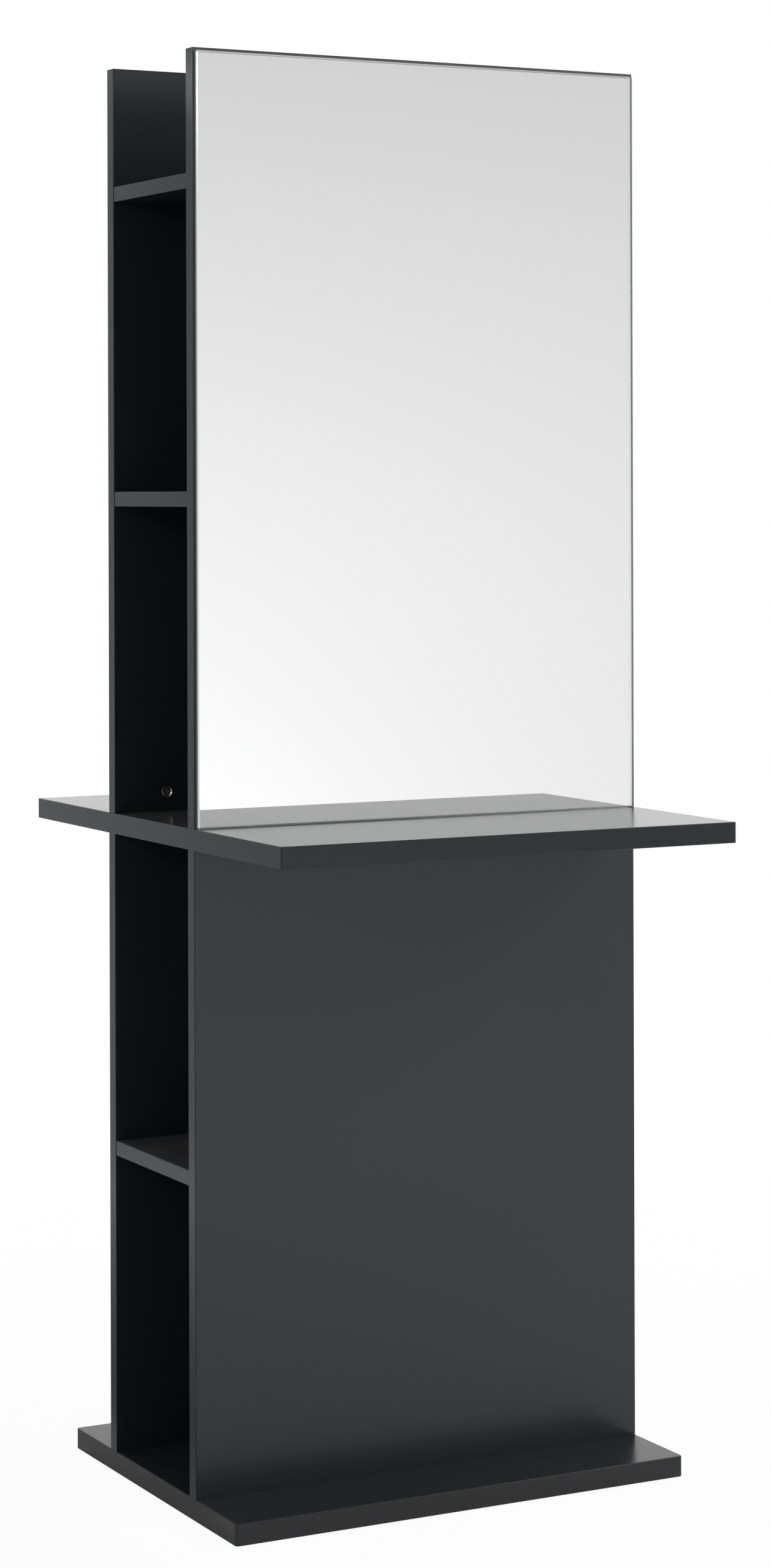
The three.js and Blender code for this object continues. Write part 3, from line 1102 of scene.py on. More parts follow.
    @staticmethod
    def copy(master: Piece, name: str, place: Matrix) -> Piece:
        """Copy a modelled piece to another place, with a mesh of its own.

        Args:
            master: The piece to copy.
            name: The copy's name.
            place: Where it goes.

        Returns:
            The copy.
        """
        piece = bpy.data.objects.new(name, master.data.copy())
        piece.data.name = name
        piece.data.transform(place)
        bpy.context.scene.collection.objects.link(piece)
        return piece

    @staticmethod
    def dress(piece: Piece, finishes: Sequence[Finish], choose: FinishPick) -> None:
        """Give a piece its finishes.

        Args:
            piece: The piece.
            finishes: The finishes, in the order of their material slots.
            choose: Says which of them a face gets.
        """
        piece.data.materials.clear()
        for finish in finishes:
            piece.data.materials.append(material_for(finish))
        for polygon in piece.data.polygons:
            polygon.material_index = finishes.index(choose(polygon))

    @staticmethod
    def coat(piece: Piece, finish: Finish) -> None:
        """Give a piece one finish all over."""
        Bench.dress(piece, (finish,), lambda polygon: finish)


def hand_over(piece: Piece, node: str, body: str = STATION) -> None:
    """Let a finished piece stand for a node of the frame.

    Args:
        piece: The finished piece.
        node: The node it replaces.
        body: The body that it rides on.
    """
    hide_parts(node)
    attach(piece, body)
    LOG.info("%s: %d faces", piece.name, len(piece.data.polygons))


def at_height(point: Vector, z: float) -> Vector:
    """The place straight above or below a point, at a height."""
    return Vector((point.x, point.y, z))


def on_face(low: Vector, high: Vector, outward: Vector) -> EdgePick:
    """Picks the edges of a block's face on one side.

    Args:
        low: The block's lowest corner.
        high: Its highest corner.
        outward: The side, along one axis.

    Returns:
        The edge test.
    """
    reach = max(low.dot(outward), high.dot(outward))

    def test(edge: Edge) -> bool:
        """Both ends lie on that side."""
        return all(abs(vertex.co.dot(outward) - reach) < ON_PLANE for vertex in edge.verts)

    return test


def is_sharp(edge: Edge) -> bool:
    """An edge between two faces that meet at a sharp angle."""
    return edge.calc_face_angle() > SHARP


def rounded_block(name: str, low: Vector, high: Vector, radius: float) -> Piece:
    """Make a block with its four upright edges rounded.

    Args:
        name: The block's name.
        low: Its lowest corner.
        high: Its highest corner.
        radius: The rounding, or 0 for square edges.

    Returns:
        The block.
    """
    block = Bench.block(name, low, high)
    half = (high.z - low.z) / 2

    def upright(edge: Edge) -> bool:
        """One end lies far above the other."""
        start, end = edge.verts
        return abs(start.co.z - end.co.z) > half

    if radius:
        Bench.bevel(block, upright, radius, segments=6)
    return block


# Sizes that a fastener shares with its holes
SCREW_HEAD_LENGTH = 4.5 * MM
SCREW_SHANK_LENGTH = 23.5 * MM
SCREW_SHANK_RADIUS = 3.4 * MM
SCREW_THREAD_RADIUS = 2.6 * MM
BOLT_THREAD_LENGTH = 11.0 * MM
BOLT_THREAD_RADIUS = 2.5 * MM
NAIL_RADIUS = 1.2 * MM


@dataclass(frozen=True)
class Bore:
    """A drilled hole between two points."""

    start: Vector
    end: Vector
    radius: float
    sides: int = 32

    def cutter(self) -> Piece:
        """The body that this hole takes out."""
        return Bench.rod("bore", self.start, self.end, self.radius, self.sides)


@dataclass(frozen=True)
class Drilling:
    """The holes that each kind of fastener needs."""

    gap: float = 0.4 * MM
    past: float = 1.0 * MM
    overcut: float = 5.0 * MM
    bolt_seat_past: float = 0.3 * MM
    cam_past: float = 0.3 * MM
    cam_sides: int = 64

    def screw(self, node: str, up: int) -> list[Bore]:
        """Holes for a furniture screw.

        Args:
            node: The screw's node.
            up: 1 if it points up, -1 if it points down.

        Returns:
            The holes for its head, its shank and its thread.
        """
        low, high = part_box(node)
        centre = (low + high) / 2
        head, tip = (low.z, high.z) if up > 0 else (high.z, low.z)
        mouth = at_height(centre, head - up * self.overcut)
        steps = (
            (head + up * (SCREW_HEAD_LENGTH + self.past), (high.x - low.x) / 2),
            (head + up * (SCREW_SHANK_LENGTH + self.past), SCREW_SHANK_RADIUS),
            (tip + up * self.past, SCREW_THREAD_RADIUS),
        )
        return [Bore(mouth, at_height(centre, end), radius + self.gap) for end, radius in steps]

    def bolt(self, node: str) -> list[Bore]:
        """Holes for a cam bolt that stands in the counter.

        Args:
            node: The bolt's node.

        Returns:
            The holes for its thread and for the rest of it.
        """
        low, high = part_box(node)
        centre = (low + high) / 2
        seat = low.z + BOLT_THREAD_LENGTH
        steps = (
            (low.z - self.past, seat + self.overcut, BOLT_THREAD_RADIUS),
            (seat - self.bolt_seat_past, high.z, (high.x - low.x) / 2),
        )
        return [
            Bore(at_height(centre, start), at_height(centre, end), radius + self.gap)
            for start, end, radius in steps
        ]

    def dowel(self, node: str) -> list[Bore]:
        """The hole for a dowel that lies along Y.

        Args:
            node: The dowel's node.

        Returns:
            The hole.
        """
        low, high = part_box(node)
        centre = (low + high) / 2
        start = Vector((centre.x, low.y - self.past, centre.z))
        end = Vector((centre.x, high.y + self.past, centre.z))
        return [Bore(start, end, (high.x - low.x) / 2 + self.gap)]

    def nail(self, node: str) -> list[Bore]:
        """The hole for a glide's nail.

        Args:
            node: The glide's node.

        Returns:
            The hole.
        """
        low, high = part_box(node)
        centre = (low + high) / 2
        end = at_height(centre, high.z + self.past)
        return [Bore(at_height(centre, low.z), end, NAIL_RADIUS + self.gap)]

    def cam(self, node: str, face: Face) -> list[Bore]:
        """The blind bore of a cam lock, open to the inside of the core.

        Args:
            node: The cam's node.
            face: The station whose panel it is in.

        Returns:
            The hole.
        """
        low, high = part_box(node)
        centre = (low + high) / 2
        depth = (high.y - low.y) / 2
        start = centre - face.outward * (depth + self.overcut)
        end = centre + face.outward * (depth + self.cam_past)
        return [Bore(start, end, (high.x - low.x) / 2 + self.gap, self.cam_sides)]


DRILLING = Drilling()


@dataclass
class BoardCore:
    """A faced board without its edge bands."""

    node: str
    bores: list[Bore]
    facing: Finish = MELAMINE
    bed: Vector | None = None
    corner: float = 0.0
    seam: float = 0.15 * MM
    facing_depth: float = 0.2 * MM

    def build(self) -> None:
        """Saw, break the edges, drill and face the board."""
        low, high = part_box(self.node)
        board = rounded_block(f"{self.node}_faced", low, high, self.corner)
        Bench.bevel(board, is_sharp, self.seam, segments=1)
        Bench.drill(board, [bore.cutter() for bore in self.bores])
        size = high - low
        thin = min(range(3), key=lambda axis: size[axis])
        inner_low = low[thin] + self.facing_depth
        inner_high = high[thin] - self.facing_depth
        bed = self.bed or Vector()

        def faced(polygon: Polygon) -> Finish:
            """Which finish a face of the board gets.

            Args:
                polygon: The face.

            Returns:
                Raw board in holes and on edges, a lighter facing with painted light on the side under
                a mirror, or the facing.
            """
            inside = inner_low <= polygon.center[thin] <= inner_high
            if inside or abs(polygon.normal[thin]) < ROUGHLY:
                return CHIPBOARD
            return MIRROR_BED_PAINTED_LIGHT if polygon.normal.dot(bed) > ROUGHLY else self.facing

        Bench.dress(board, (self.facing, CHIPBOARD, MIRROR_BED_PAINTED_LIGHT), faced)
        hand_over(board, self.node)


@dataclass
class BandStrip:
    """One strip of edge band, with a rounded arris on its outside."""

    low: Vector
    high: Vector
    outward: Vector
    arris: float = 0.5 * MM
    segments: int = 3

    def build(self, name: str) -> Piece:
        """Cut the strip and round its outer edges.

        Args:
            name: The strip's name.

        Returns:
            The strip.
        """
        strip = Bench.block(name, self.low, self.high)
        Bench.bevel(strip, on_face(self.low, self.high, self.outward), self.arris, self.segments)
        return strip


@dataclass
class EdgeBand:
    """All the band on one node: strips that butt against each other."""

    node: str
    strips: list[BandStrip]
    painted_light_side: Vector | None = None

    def build(self) -> None:
        """Cut the strips, join them and give the side that is trimmed flush a lighter colour, painted
        light.
        """
        cut = [strip.build(f"{self.node}_strip") for strip in self.strips]
        band = Bench.join(f"{self.node}_rounded", cut)
        painted_light_side = self.painted_light_side or Vector()

        def trimmed(polygon: Polygon) -> Finish:
            """The lighter finish with painted light on the trimmed side, the plain one elsewhere."""
            return BAND_PAINTED_LIGHT if polygon.normal.dot(painted_light_side) > STRAIGHT else EDGE_BAND

        Bench.dress(band, (EDGE_BAND, BAND_PAINTED_LIGHT), trimmed)
        hand_over(band, self.node)


@dataclass
class Slab:
    """A thick board with one band bent all round it: the base or the counter."""

    core: str
    band: str
    bores: list[Bore]
    facing: Finish = MELAMINE
    edging: Finish = EDGE_BAND
    arris: float = 0.9 * MM
    corner: float = 1.3 * MM

    def build(self) -> None:
        """Make the board and the band bent round it."""
        low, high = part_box(self.band)
        inner_low, inner_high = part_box(self.core)
        inner_corner = max(0.0, self.corner - (inner_low.x - low.x))
        BoardCore(self.core, self.bores, self.facing, corner=inner_corner).build()
        ring = rounded_block(f"{self.band}_bent", low, high, self.corner)
        Bench.bevel(ring, is_sharp, self.arris, segments=3)
        past = Vector((0, 0, self.arris))
        space = rounded_block("core_space", inner_low - past, inner_high + past, inner_corner)
        Bench.drill(ring, [space])
        Bench.smooth(ring)
        Bench.coat(ring, self.edging)
        hand_over(ring, self.band)


@dataclass
class EndBandedBoard:
    """A board banded on its two ends: a lower panel or a shelf."""

    core: str
    bores: list[Bore]
    facing: Finish = MELAMINE

    def build(self) -> None:
        """Make the board and its two end bands."""
        BoardCore(self.core, self.bores, self.facing).build()
        for end in End:
            node = f"{self.core}_{end.value}_band"
            EdgeBand(node, [BandStrip(*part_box(node), end.outward)]).build()


@dataclass
class UpperPanel:
    """An upper panel, banded on both ends and on top."""

    face: Face
    bores: list[Bore]

    def build(self) -> None:
        """Make the panel and the strips on its three open edges."""
        core = f"upper_{self.face.value}_panel"
        BoardCore(core, self.bores, bed=self.face.outward).build()
        inner_low, inner_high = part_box(core)
        band = f"{core}_edge_band"
        low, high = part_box(band)
        strips = [BandStrip(at_height(low, inner_high.z), high, Vector((0, 0, 1)))]
        for end in End:
            start, stop = low.copy(), at_height(high, inner_high.z)
            if end is End.LEFT:
                stop.x = inner_low.x
            else:
                start.x = inner_high.x
            strips.append(BandStrip(start, stop, end.outward))
        EdgeBand(band, strips, self.face.outward).build()


@dataclass
class MirrorPane:
    """A frameless mirror with a chamfered front edge, and the foam tape that holds it."""

    face: Face
    corner: float = 1.5 * MM
    chamfer: float = 1.5 * MM
    back_arris: float = 0.3 * MM
    edge_cosine: float = 0.3
    paint: float = 0.2 * MM
    paint_gap: float = 0.02 * MM
    paint_round: float = 0.04 * MM
    paint_inset: float = 0.6 * MM
    tape_width: float = 20.0 * MM
    tape_round: float = 0.4 * MM

    def build(self) -> None:
        """Make the pane and its tape."""
        node = f"{self.face.value}_mirror"
        low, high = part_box(node)
        front_low, front_high = low.copy(), high.copy()
        back_low, back_high = low.copy(), high.copy()
        if self.face is Face.FRONT:
            front_high.y -= self.paint
            back_low.y = front_high.y + self.paint_gap
        else:
            front_low.y += self.paint
            back_high.y = front_low.y - self.paint_gap
        glass = self.build_glass(f"{node}_glass", front_low, front_high)
        paint = self.build_paint(f"{node}_paint", back_low, back_high)
        pane = Bench.join(f"{node}_pane", (glass, paint))
        hand_over(pane, node)
        self.build_tape()

    def build_glass(self, name: str, low: Vector, high: Vector) -> Piece:
        """Cut the glass, grind and polish its edges and silver its back.

        Args:
            name: The glass's name.
            low: Its lowest corner.
            high: Its highest corner.

        Returns:
            The glass.
        """
        outward = self.face.outward
        glass = Bench.block(name, low, high)

        def corners(edge: Edge) -> bool:
            """The four edges through the glass at its corners."""
            start, end = edge.verts
            return abs(start.co.y - end.co.y) > self.chamfer

        Bench.bevel(glass, corners, self.corner, segments=4)
        Bench.bevel(glass, on_face(low, high, -outward), self.back_arris, segments=1)
        Bench.bevel(glass, on_face(low, high, outward), self.chamfer, segments=1)

        def surface(polygon: Polygon) -> Finish:
            """Which finish a face of the glass gets.

            Args:
                polygon: The face.

            Returns:
                Silver on the back, clear glass in front, ground glass on the edge and at the foot,
                and a chamfer that is polished on the left and matt elsewhere.
            """
            toward = polygon.normal.dot(outward)
            if toward < -STRAIGHT:
                return SILVERING
            if toward > STRAIGHT:
                return GLASS
            if toward < self.edge_cosine or polygon.normal.z < -ROUGHLY:
                return GLASS_EDGE
            return GLASS_ARRIS if polygon.normal.x < -ROUGHLY else GLASS_MATT_ARRIS

        finishes = (GLASS, SILVERING, GLASS_ARRIS, GLASS_EDGE, GLASS_MATT_ARRIS)
        Bench.dress(glass, finishes, surface)
        return glass

    def build_paint(self, name: str, low: Vector, high: Vector) -> Piece:
        """Paint over the silver, short of the pane's edges.

        Args:
            name: The coat's name.
            low: The lowest corner of the pane's back.
            high: Its highest corner.

        Returns:
            The coat of paint.
        """
        inset = Vector((self.paint_inset, 0, self.paint_inset))
        paint = Bench.block(name, low + inset, high - inset)
        Bench.bevel(paint, lambda edge: True, self.paint_round, segments=1)
        Bench.coat(paint, BACKING)
        return paint

    def build_tape(self) -> None:
        """Lay four strips of foam tape round the back of the pane."""
        node = f"{self.face.value}_mirror_tape"
        low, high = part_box(node)
        width = self.tape_width
        strips = []
        for start_z, end_z in ((low.z, low.z + width), (high.z - width, high.z)):
            strips.append((at_height(low, start_z), at_height(high, end_z)))
        for start_x, end_x in ((low.x, low.x + width), (high.x - width, high.x)):
            start = Vector((start_x, low.y, low.z + width))
            strips.append((start, Vector((end_x, high.y, high.z - width))))
        cut = []
        for start, end in strips:
            strip = Bench.block(f"{node}_strip", start, end)
            Bench.bevel(strip, lambda edge: True, self.tape_round, segments=2)
            cut.append(strip)
        tape = Bench.join(f"{node}_foam", cut)
        Bench.coat(tape, FOAM)
        hand_over(tape, node)


@dataclass
class CamLock:
    """A cam that hooks a bolt in the counter, modelled once along Z from its driver face down."""

    radius: float = 7.2 * MM
    length: float = 13.4 * MM
    rim: float = 0.35 * MM
    ring_width: float = 0.45 * MM
    dish: float = 1.1 * MM
    dish_floor: float = 0.82
    bolt_depth: float = 8.7 * MM
    hollow_radius: float = 4.8 * MM
    hollow_length: float = 7.6 * MM
    hollow_sides: int = 48
    slot_width: float = 5.8 * MM
    slot_reach: float = 9.0 * MM
    slot_end_deg: float = 305.0
    slot_arc_deg: float = 250.0
    slot_steps: int = 50
    entry_radius: float = 3.8 * MM
    cross_length: float = 6.4 * MM
    cross_width: float = 1.4 * MM
    cross_depth: float = 2.5 * MM
    cross_round: float = 0.3 * MM
    cross_over: float = 1.0 * MM
    arrow_radius: float = 0.7 * MM
    arrow_place: float = 3.6 * MM
    arrow_depth: float = 0.35 * MM
    arrow_over: float = 2.0 * MM
    sides: int = 64

    def body(self) -> Piece:
        """The cast body: a narrow rim round a coned, dished face.

        Returns:
            The body.
        """
        cam = Bench.rod("cam_body", Vector((0, 0, -self.length)), Vector(), self.radius, self.sides)
        Bench.pick_faces(cam, lambda face: face.normal.z > STRAIGHT)
        bpy.ops.mesh.inset(thickness=self.rim + self.ring_width)
        Bench.step(0.0, -self.dish, self.dish_floor)
        Bench.leave()

        def rim(edge: Edge) -> bool:
            """The outer edge of the driver face."""
            inside = self.radius - ON_PLANE
            return all(v.co.z > -ON_PLANE and v.co.xy.length > inside for v in edge.verts)

        Bench.bevel(cam, rim, self.rim, segments=3)
        return cam

    def neck_slot(self) -> Piece:
        """The slot that the bolt's neck passes through as the cam turns, spun from its section.

        Returns:
            The body that the slot takes out.
        """
        Bench.clear()
        middle = (self.slot_reach / 2, 0, -self.bolt_depth)
        bpy.ops.mesh.primitive_plane_add(size=1.0, location=middle)
        section = bpy.context.object
        section.scale = (self.slot_reach, self.slot_width, 1)
        section.rotation_euler = (math.pi / 2, 0, 0)
        slot = Bench.settle("neck_slot")
        start = math.radians(self.slot_end_deg - self.slot_arc_deg)
        slot.data.transform(Matrix.Rotation(start, 4, "Z"))
        Bench.pick_faces(slot, lambda face: True)
        arc = math.radians(self.slot_arc_deg)
        bpy.ops.mesh.spin(steps=self.slot_steps, angle=arc, center=(0, 0, 0), axis=(0, 0, 1))
        bpy.ops.mesh.select_all(action="SELECT")
        bpy.ops.mesh.remove_doubles(threshold=WELD)
        bpy.ops.mesh.normals_make_consistent(inside=False)
        Bench.leave()
        return slot

    def cross_arm(self, length: float, width: float) -> Piece:
        """One arm of the driver cross.

        Args:
            length: Its size along X.
            width: Its size along Y.

        Returns:
            The body that the arm takes out.
        """
        corner = Vector((length / 2, width / 2, 0))
        low = at_height(-corner, -self.cross_depth)
        arm = Bench.block("cross_arm", low, at_height(corner, self.cross_over))
        Bench.bevel(arm, on_face(low, corner, Vector((0, 0, -1))), self.cross_round, segments=2)
        return arm

    def arrow(self) -> Piece:
        """The three-sided arrow that shows which way the cam stands.

        Returns:
            The body that the arrow takes out.
        """
        foot = Vector((0, -self.arrow_place, -self.dish - self.arrow_depth))
        top = foot + Vector((0, 0, self.arrow_over))
        arrow = Bench.rod("arrow", foot, top, self.arrow_radius, sides=3)
        half_turn = Matrix.Rotation(math.pi, 4, "Z")
        arrow.data.transform(Matrix.Translation(foot) @ half_turn @ Matrix.Translation(-foot))
        return arrow

    def cutters(self) -> list[Piece]:
        """The hollow for the bolt's head, its slot and entry, the driver cross and the arrow.

        Returns:
            The bodies to cut out, in order.
        """
        middle = Vector((0, 0, -self.bolt_depth))
        half = Vector((0, 0, self.hollow_length / 2))
        mouth = middle + Vector((0, self.slot_reach, 0))
        return [
            Bench.rod("hollow", middle - half, middle + half, self.hollow_radius, self.hollow_sides),
            self.neck_slot(),
            Bench.rod("entry", middle, mouth, self.entry_radius, self.hollow_sides),
            self.cross_arm(self.cross_length, self.cross_width),
            self.cross_arm(self.cross_width, self.cross_length),
            self.arrow(),
        ]

    def build(self) -> None:
        """Model the cam and set a copy at each corner."""
        master = self.body()
        Bench.drill(master, self.cutters())
        Bench.pick_faces(master, lambda face: True)
        bpy.ops.mesh.dissolve_degenerate(threshold=SLIVER)
        Bench.leave()
        Bench.smooth(master)
        Bench.coat(master, CAM_ZINC)
        for face, end in CORNERS:
            node = corner_name("cam", face, end)
            low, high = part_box(node)
            origin = (low + high) / 2 - face.outward * (high.y - low.y) / 2
            turn = Matrix.Rotation(math.pi / 2, 4, "X")
            if face is Face.FRONT:
                turn = Matrix.Rotation(math.pi, 4, "Z") @ turn
            cam = Bench.copy(master, f"{node}_cast", Matrix.Translation(origin) @ turn)
            hand_over(cam, node, f"{face.value} {end.value} cam")
        bpy.data.objects.remove(master, do_unlink=True)


@dataclass(frozen=True)
class Thread:
    """A screw thread, turned as a row of ridges."""

    root: float
    crest: float
    pitch: float
    crest_at: float = 0.45

    def profile(self, start: float, end: float) -> list[Span]:
        """The lathe profile of the thread.

        Args:
            start: Where the thread starts along Z.
            end: Where it ends.

        Returns:
            Heights and radii, from root to crest and back.
        """
        steps = []
        for turn in range(int((end - start) / self.pitch)):
            steps.append((start + self.pitch * turn, self.root))
            steps.append((start + self.pitch * (turn + self.crest_at), self.crest))
        return [*steps, (end, self.root)]


@dataclass
class Fastener:
    """A small turned piece that is modelled once along Z, with a copy at each corner."""

    kind: str
    slot: Slot

    def model(self) -> Piece:
        """Model the piece with its foot at the origin."""
        raise NotImplementedError

    def foot(self, low: Vector, high: Vector) -> Vector:
        """Where the foot of a copy goes in its node's box."""
        return at_height((low + high) / 2, low.z)

    def turned(self) -> Matrix:
        """How a copy is turned."""
        return Matrix()

    def build(self) -> None:
        """Model the piece and set the copies."""
        master = self.model()
        Bench.smooth(master)
        for face, end in CORNERS:
            node = corner_name(self.kind, face, end)
            place = Matrix.Translation(self.foot(*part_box(node))) @ self.turned()
            hand_over(Bench.copy(master, f"{node}_turned", place), node)
        bpy.data.objects.remove(master, do_unlink=True)


@dataclass
class FurnitureScrew(Fastener):
    """A screw with a hexagon socket, a plain shank and a coarse thread, which points up or down."""

    downward: bool = False
    length: float = 50.0 * MM
    head_radius: float = 4.8 * MM
    head_length: float = SCREW_HEAD_LENGTH
    head_cone: float = 1.6 * MM
    shank_radius: float = SCREW_SHANK_RADIUS
    shank_length: float = SCREW_SHANK_LENGTH
    thread: Thread = Thread(root=1.9 * MM, crest=SCREW_THREAD_RADIUS, pitch=2.6 * MM)
    tip: float = 3.0 * MM
    point_radius: float = 0.16 * MM
    socket_radius: float = 2.3 * MM
    socket_depth: float = 3.0 * MM
    edge: float = 0.4 * MM
    sides: int = 32

    def model(self) -> Piece:
        """Turn the screw from its head to its tip and sink the socket.

        Returns:
            The screw.
        """
        profile = [
            (0, self.head_radius - self.edge),
            (self.edge, self.head_radius),
            (self.head_length - self.head_cone, self.head_radius),
            (self.head_length, self.shank_radius),
            (self.shank_length - self.edge, self.shank_radius),
            (self.shank_length, self.thread.root),
            *self.thread.profile(self.shank_length + self.edge, self.length - self.tip),
            (self.length - self.edge, self.edge),
            (self.length, self.point_radius),
        ]
        screw = Bench.turn("furniture_screw", profile, self.sides)
        depth = Vector((0, 0, self.socket_depth))
        Bench.drill(screw, [Bench.rod("socket", -depth, depth, self.socket_radius, sides=6)])
        Bench.coat(screw, STEEL)
        return screw

    def foot(self, low: Vector, high: Vector) -> Vector:
        """The head's outer face."""
        return at_height((low + high) / 2, high.z if self.downward else low.z)

    def turned(self) -> Matrix:
        """Upside down where it points down."""
        return Matrix.Rotation(math.pi if self.downward else 0.0, 4, "X")


@dataclass
class CamBolt(Fastener):
    """The bolt in the counter that a cam hooks on."""

    thread: Thread = Thread(root=1.8 * MM, crest=BOLT_THREAD_RADIUS, pitch=1.8 * MM)
    point_radius: float = 0.9 * MM
    thread_end: float = BOLT_THREAD_LENGTH
    collar_radius: float = 3.5 * MM
    collar_end: float = 15.5 * MM
    neck_radius: float = 2.4 * MM
    head_radius: float = 3.3 * MM
    head_start: float = 21.5 * MM
    head_end: float = 25.5 * MM
    crown: float = 0.86
    crown_top: float = 0.6
    edge: float = 0.35 * MM
    slot_reach: float = 0.75
    slot_width: float = 0.9 * MM
    slot_depth: float = 1.4 * MM
    sides: int = 32

    def model(self) -> Piece:
        """Turn the bolt from its point to its ball-edged head and cut the driver cross.

        Returns:
            The bolt.
        """
        edge = self.edge
        profile = [
            (0, self.point_radius),
            *self.thread.profile(2 * edge, self.thread_end - edge),
            (self.thread_end, self.collar_radius - edge),
            (self.thread_end + edge, self.collar_radius),
            (self.collar_end - edge, self.collar_radius),
            (self.collar_end, self.neck_radius + edge),
            (self.collar_end + edge, self.neck_radius),
            (self.head_start - edge, self.neck_radius),
            (self.head_start, self.head_radius - edge),
            (self.head_start + 2 * edge, self.head_radius),
            (self.head_end - 3 * edge, self.head_radius),
            (self.head_end - edge, self.crown * self.head_radius),
            (self.head_end, self.crown_top * self.head_radius),
        ]
        bolt = Bench.turn("cam_bolt", profile, self.sides)
        reach = self.slot_reach * self.head_radius
        half = self.slot_width / 2
        top = Vector((0, 0, self.head_end))
        arms = []
        for x, y in ((reach, half), (half, reach)):
            corner = Vector((x, y, self.slot_depth))
            arms.append(Bench.block("slot_arm", top - corner, top + corner))
        Bench.drill(bolt, arms)
        Bench.coat(bolt, STEEL)
        return bolt


@dataclass
class ShelfDowel(Fastener):
    """A fluted dowel along Y with chamfered ends."""

    radius: float = 3.9 * MM
    length: float = 30.0 * MM
    chamfer: float = 1.0 * MM
    flutes: int = 20
    flute_facets: int = 4
    flute_floor: float = 0.92

    def model(self) -> Piece:
        """Turn the dowel and press the flutes in.

        Returns:
            The dowel.
        """
        small = self.radius - self.chamfer
        profile = [
            (0, small),
            (self.chamfer, self.radius),
            (self.length - self.chamfer, self.radius),
            (self.length, small),
        ]
        dowel = Bench.turn("shelf_dowel", profile, self.flute_facets * self.flutes)
        flute = 2 * math.pi / self.flutes
        facet = flute / self.flute_facets
        mesh = Bench.enter(dowel, "VERT")
        for vertex in mesh.verts:
            inside = self.chamfer / 2 < vertex.co.z < self.length - self.chamfer / 2
            turn = (math.atan2(vertex.co.y, vertex.co.x) + facet / 2) % flute
            vertex.select_set(inside and turn < facet)
        bmesh.update_edit_mesh(dowel.data)
        floor = (self.flute_floor, self.flute_floor, 1)
        bpy.ops.transform.resize(value=floor, center_override=(0, 0, self.length / 2))
        Bench.leave()
        Bench.coat(dowel, BEECH)
        return dowel

    def foot(self, low: Vector, high: Vector) -> Vector:
        """The dowel's end towards -Y."""
        middle = (low + high) / 2
        return Vector((middle.x, low.y, middle.z))

    def turned(self) -> Matrix:
        """Laid along Y."""
        return Matrix.Rotation(-math.pi / 2, 4, "X")


@dataclass
class NailGlide(Fastener):
    """A domed plastic glide with a steel nail through it."""

    radius: float = 11.0 * MM
    height: float = 3.0 * MM
    sole: float = 7.0 * MM
    edge: float = 0.3 * MM
    well_radius: float = 3.2 * MM
    well_depth: float = 1.2 * MM
    head_radius: float = 2.7 * MM
    head_start: float = 0.5 * MM
    head_crown: float = 0.8
    nail_radius: float = NAIL_RADIUS
    nail_end: float = 17.0 * MM
    point: float = 2.5 * MM
    point_radius: float = 0.12 * MM
    dome_sides: int = 48
    well_sides: int = 40
    nail_sides: int = 24

    def model(self) -> Piece:
        """Turn the dome, sink its well and set the nail in it.

        Returns:
            The glide.
        """
        finishes = (GLIDE_PLASTIC, STEEL)
        dome = self.dome()
        Bench.dress(dome, finishes, lambda polygon: GLIDE_PLASTIC)
        nail = self.nail()
        Bench.dress(nail, finishes, lambda polygon: STEEL)
        return Bench.join("glide", (dome, nail))

    def dome(self) -> Piece:
        """The dome with its well.

        Returns:
            The dome.
        """
        edge = self.edge
        profile = [
            (0, self.sole),
            (edge, self.sole + 6 * edge),
            (3 * edge, self.radius - 3 * edge),
            (6 * edge, self.radius - edge),
            (8 * edge, self.radius),
            (self.height - edge / 2, self.radius),
            (self.height, self.radius - edge / 2),
        ]
        dome = Bench.turn("glide_dome", profile, self.dome_sides)
        depth = Vector((0, 0, self.well_depth))
        Bench.drill(dome, [Bench.rod("well", -depth, depth, self.well_radius, self.well_sides)])
        return dome

    def nail(self) -> Piece:
        """The nail, from its head in the well to its point.

        Returns:
            The nail.
        """
        profile = [
            (self.head_start, self.head_crown * self.head_radius),
            (self.head_start + self.edge, self.head_radius),
            (self.well_depth, self.head_radius),
            (self.well_depth + self.edge, self.nail_radius),
            (self.nail_end - self.point, self.nail_radius),
            (self.nail_end, self.point_radius),
        ]
        return Bench.turn("glide_nail", profile, self.nail_sides)


# Studio

@dataclass(frozen=True)
class Softbox:
    """A soft lamp: where it hangs, what it points at, its size and its power in watts."""

    name: str
    place: Vector
    target: Vector
    width: float
    height: float
    power: float

    def build(self) -> None:
        """Hang the lamp."""
        Bench.clear()
        turn = (self.target - self.place).to_track_quat("-Z", "Y").to_euler()
        bpy.ops.object.light_add(type="AREA", location=self.place, rotation=turn)
        lamp = bpy.context.object
        lamp.name = self.name
        lamp.data.shape = "RECTANGLE"
        lamp.data.size = self.width
        lamp.data.size_y = self.height
        lamp.data.energy = self.power
        lamp.visible_camera = False


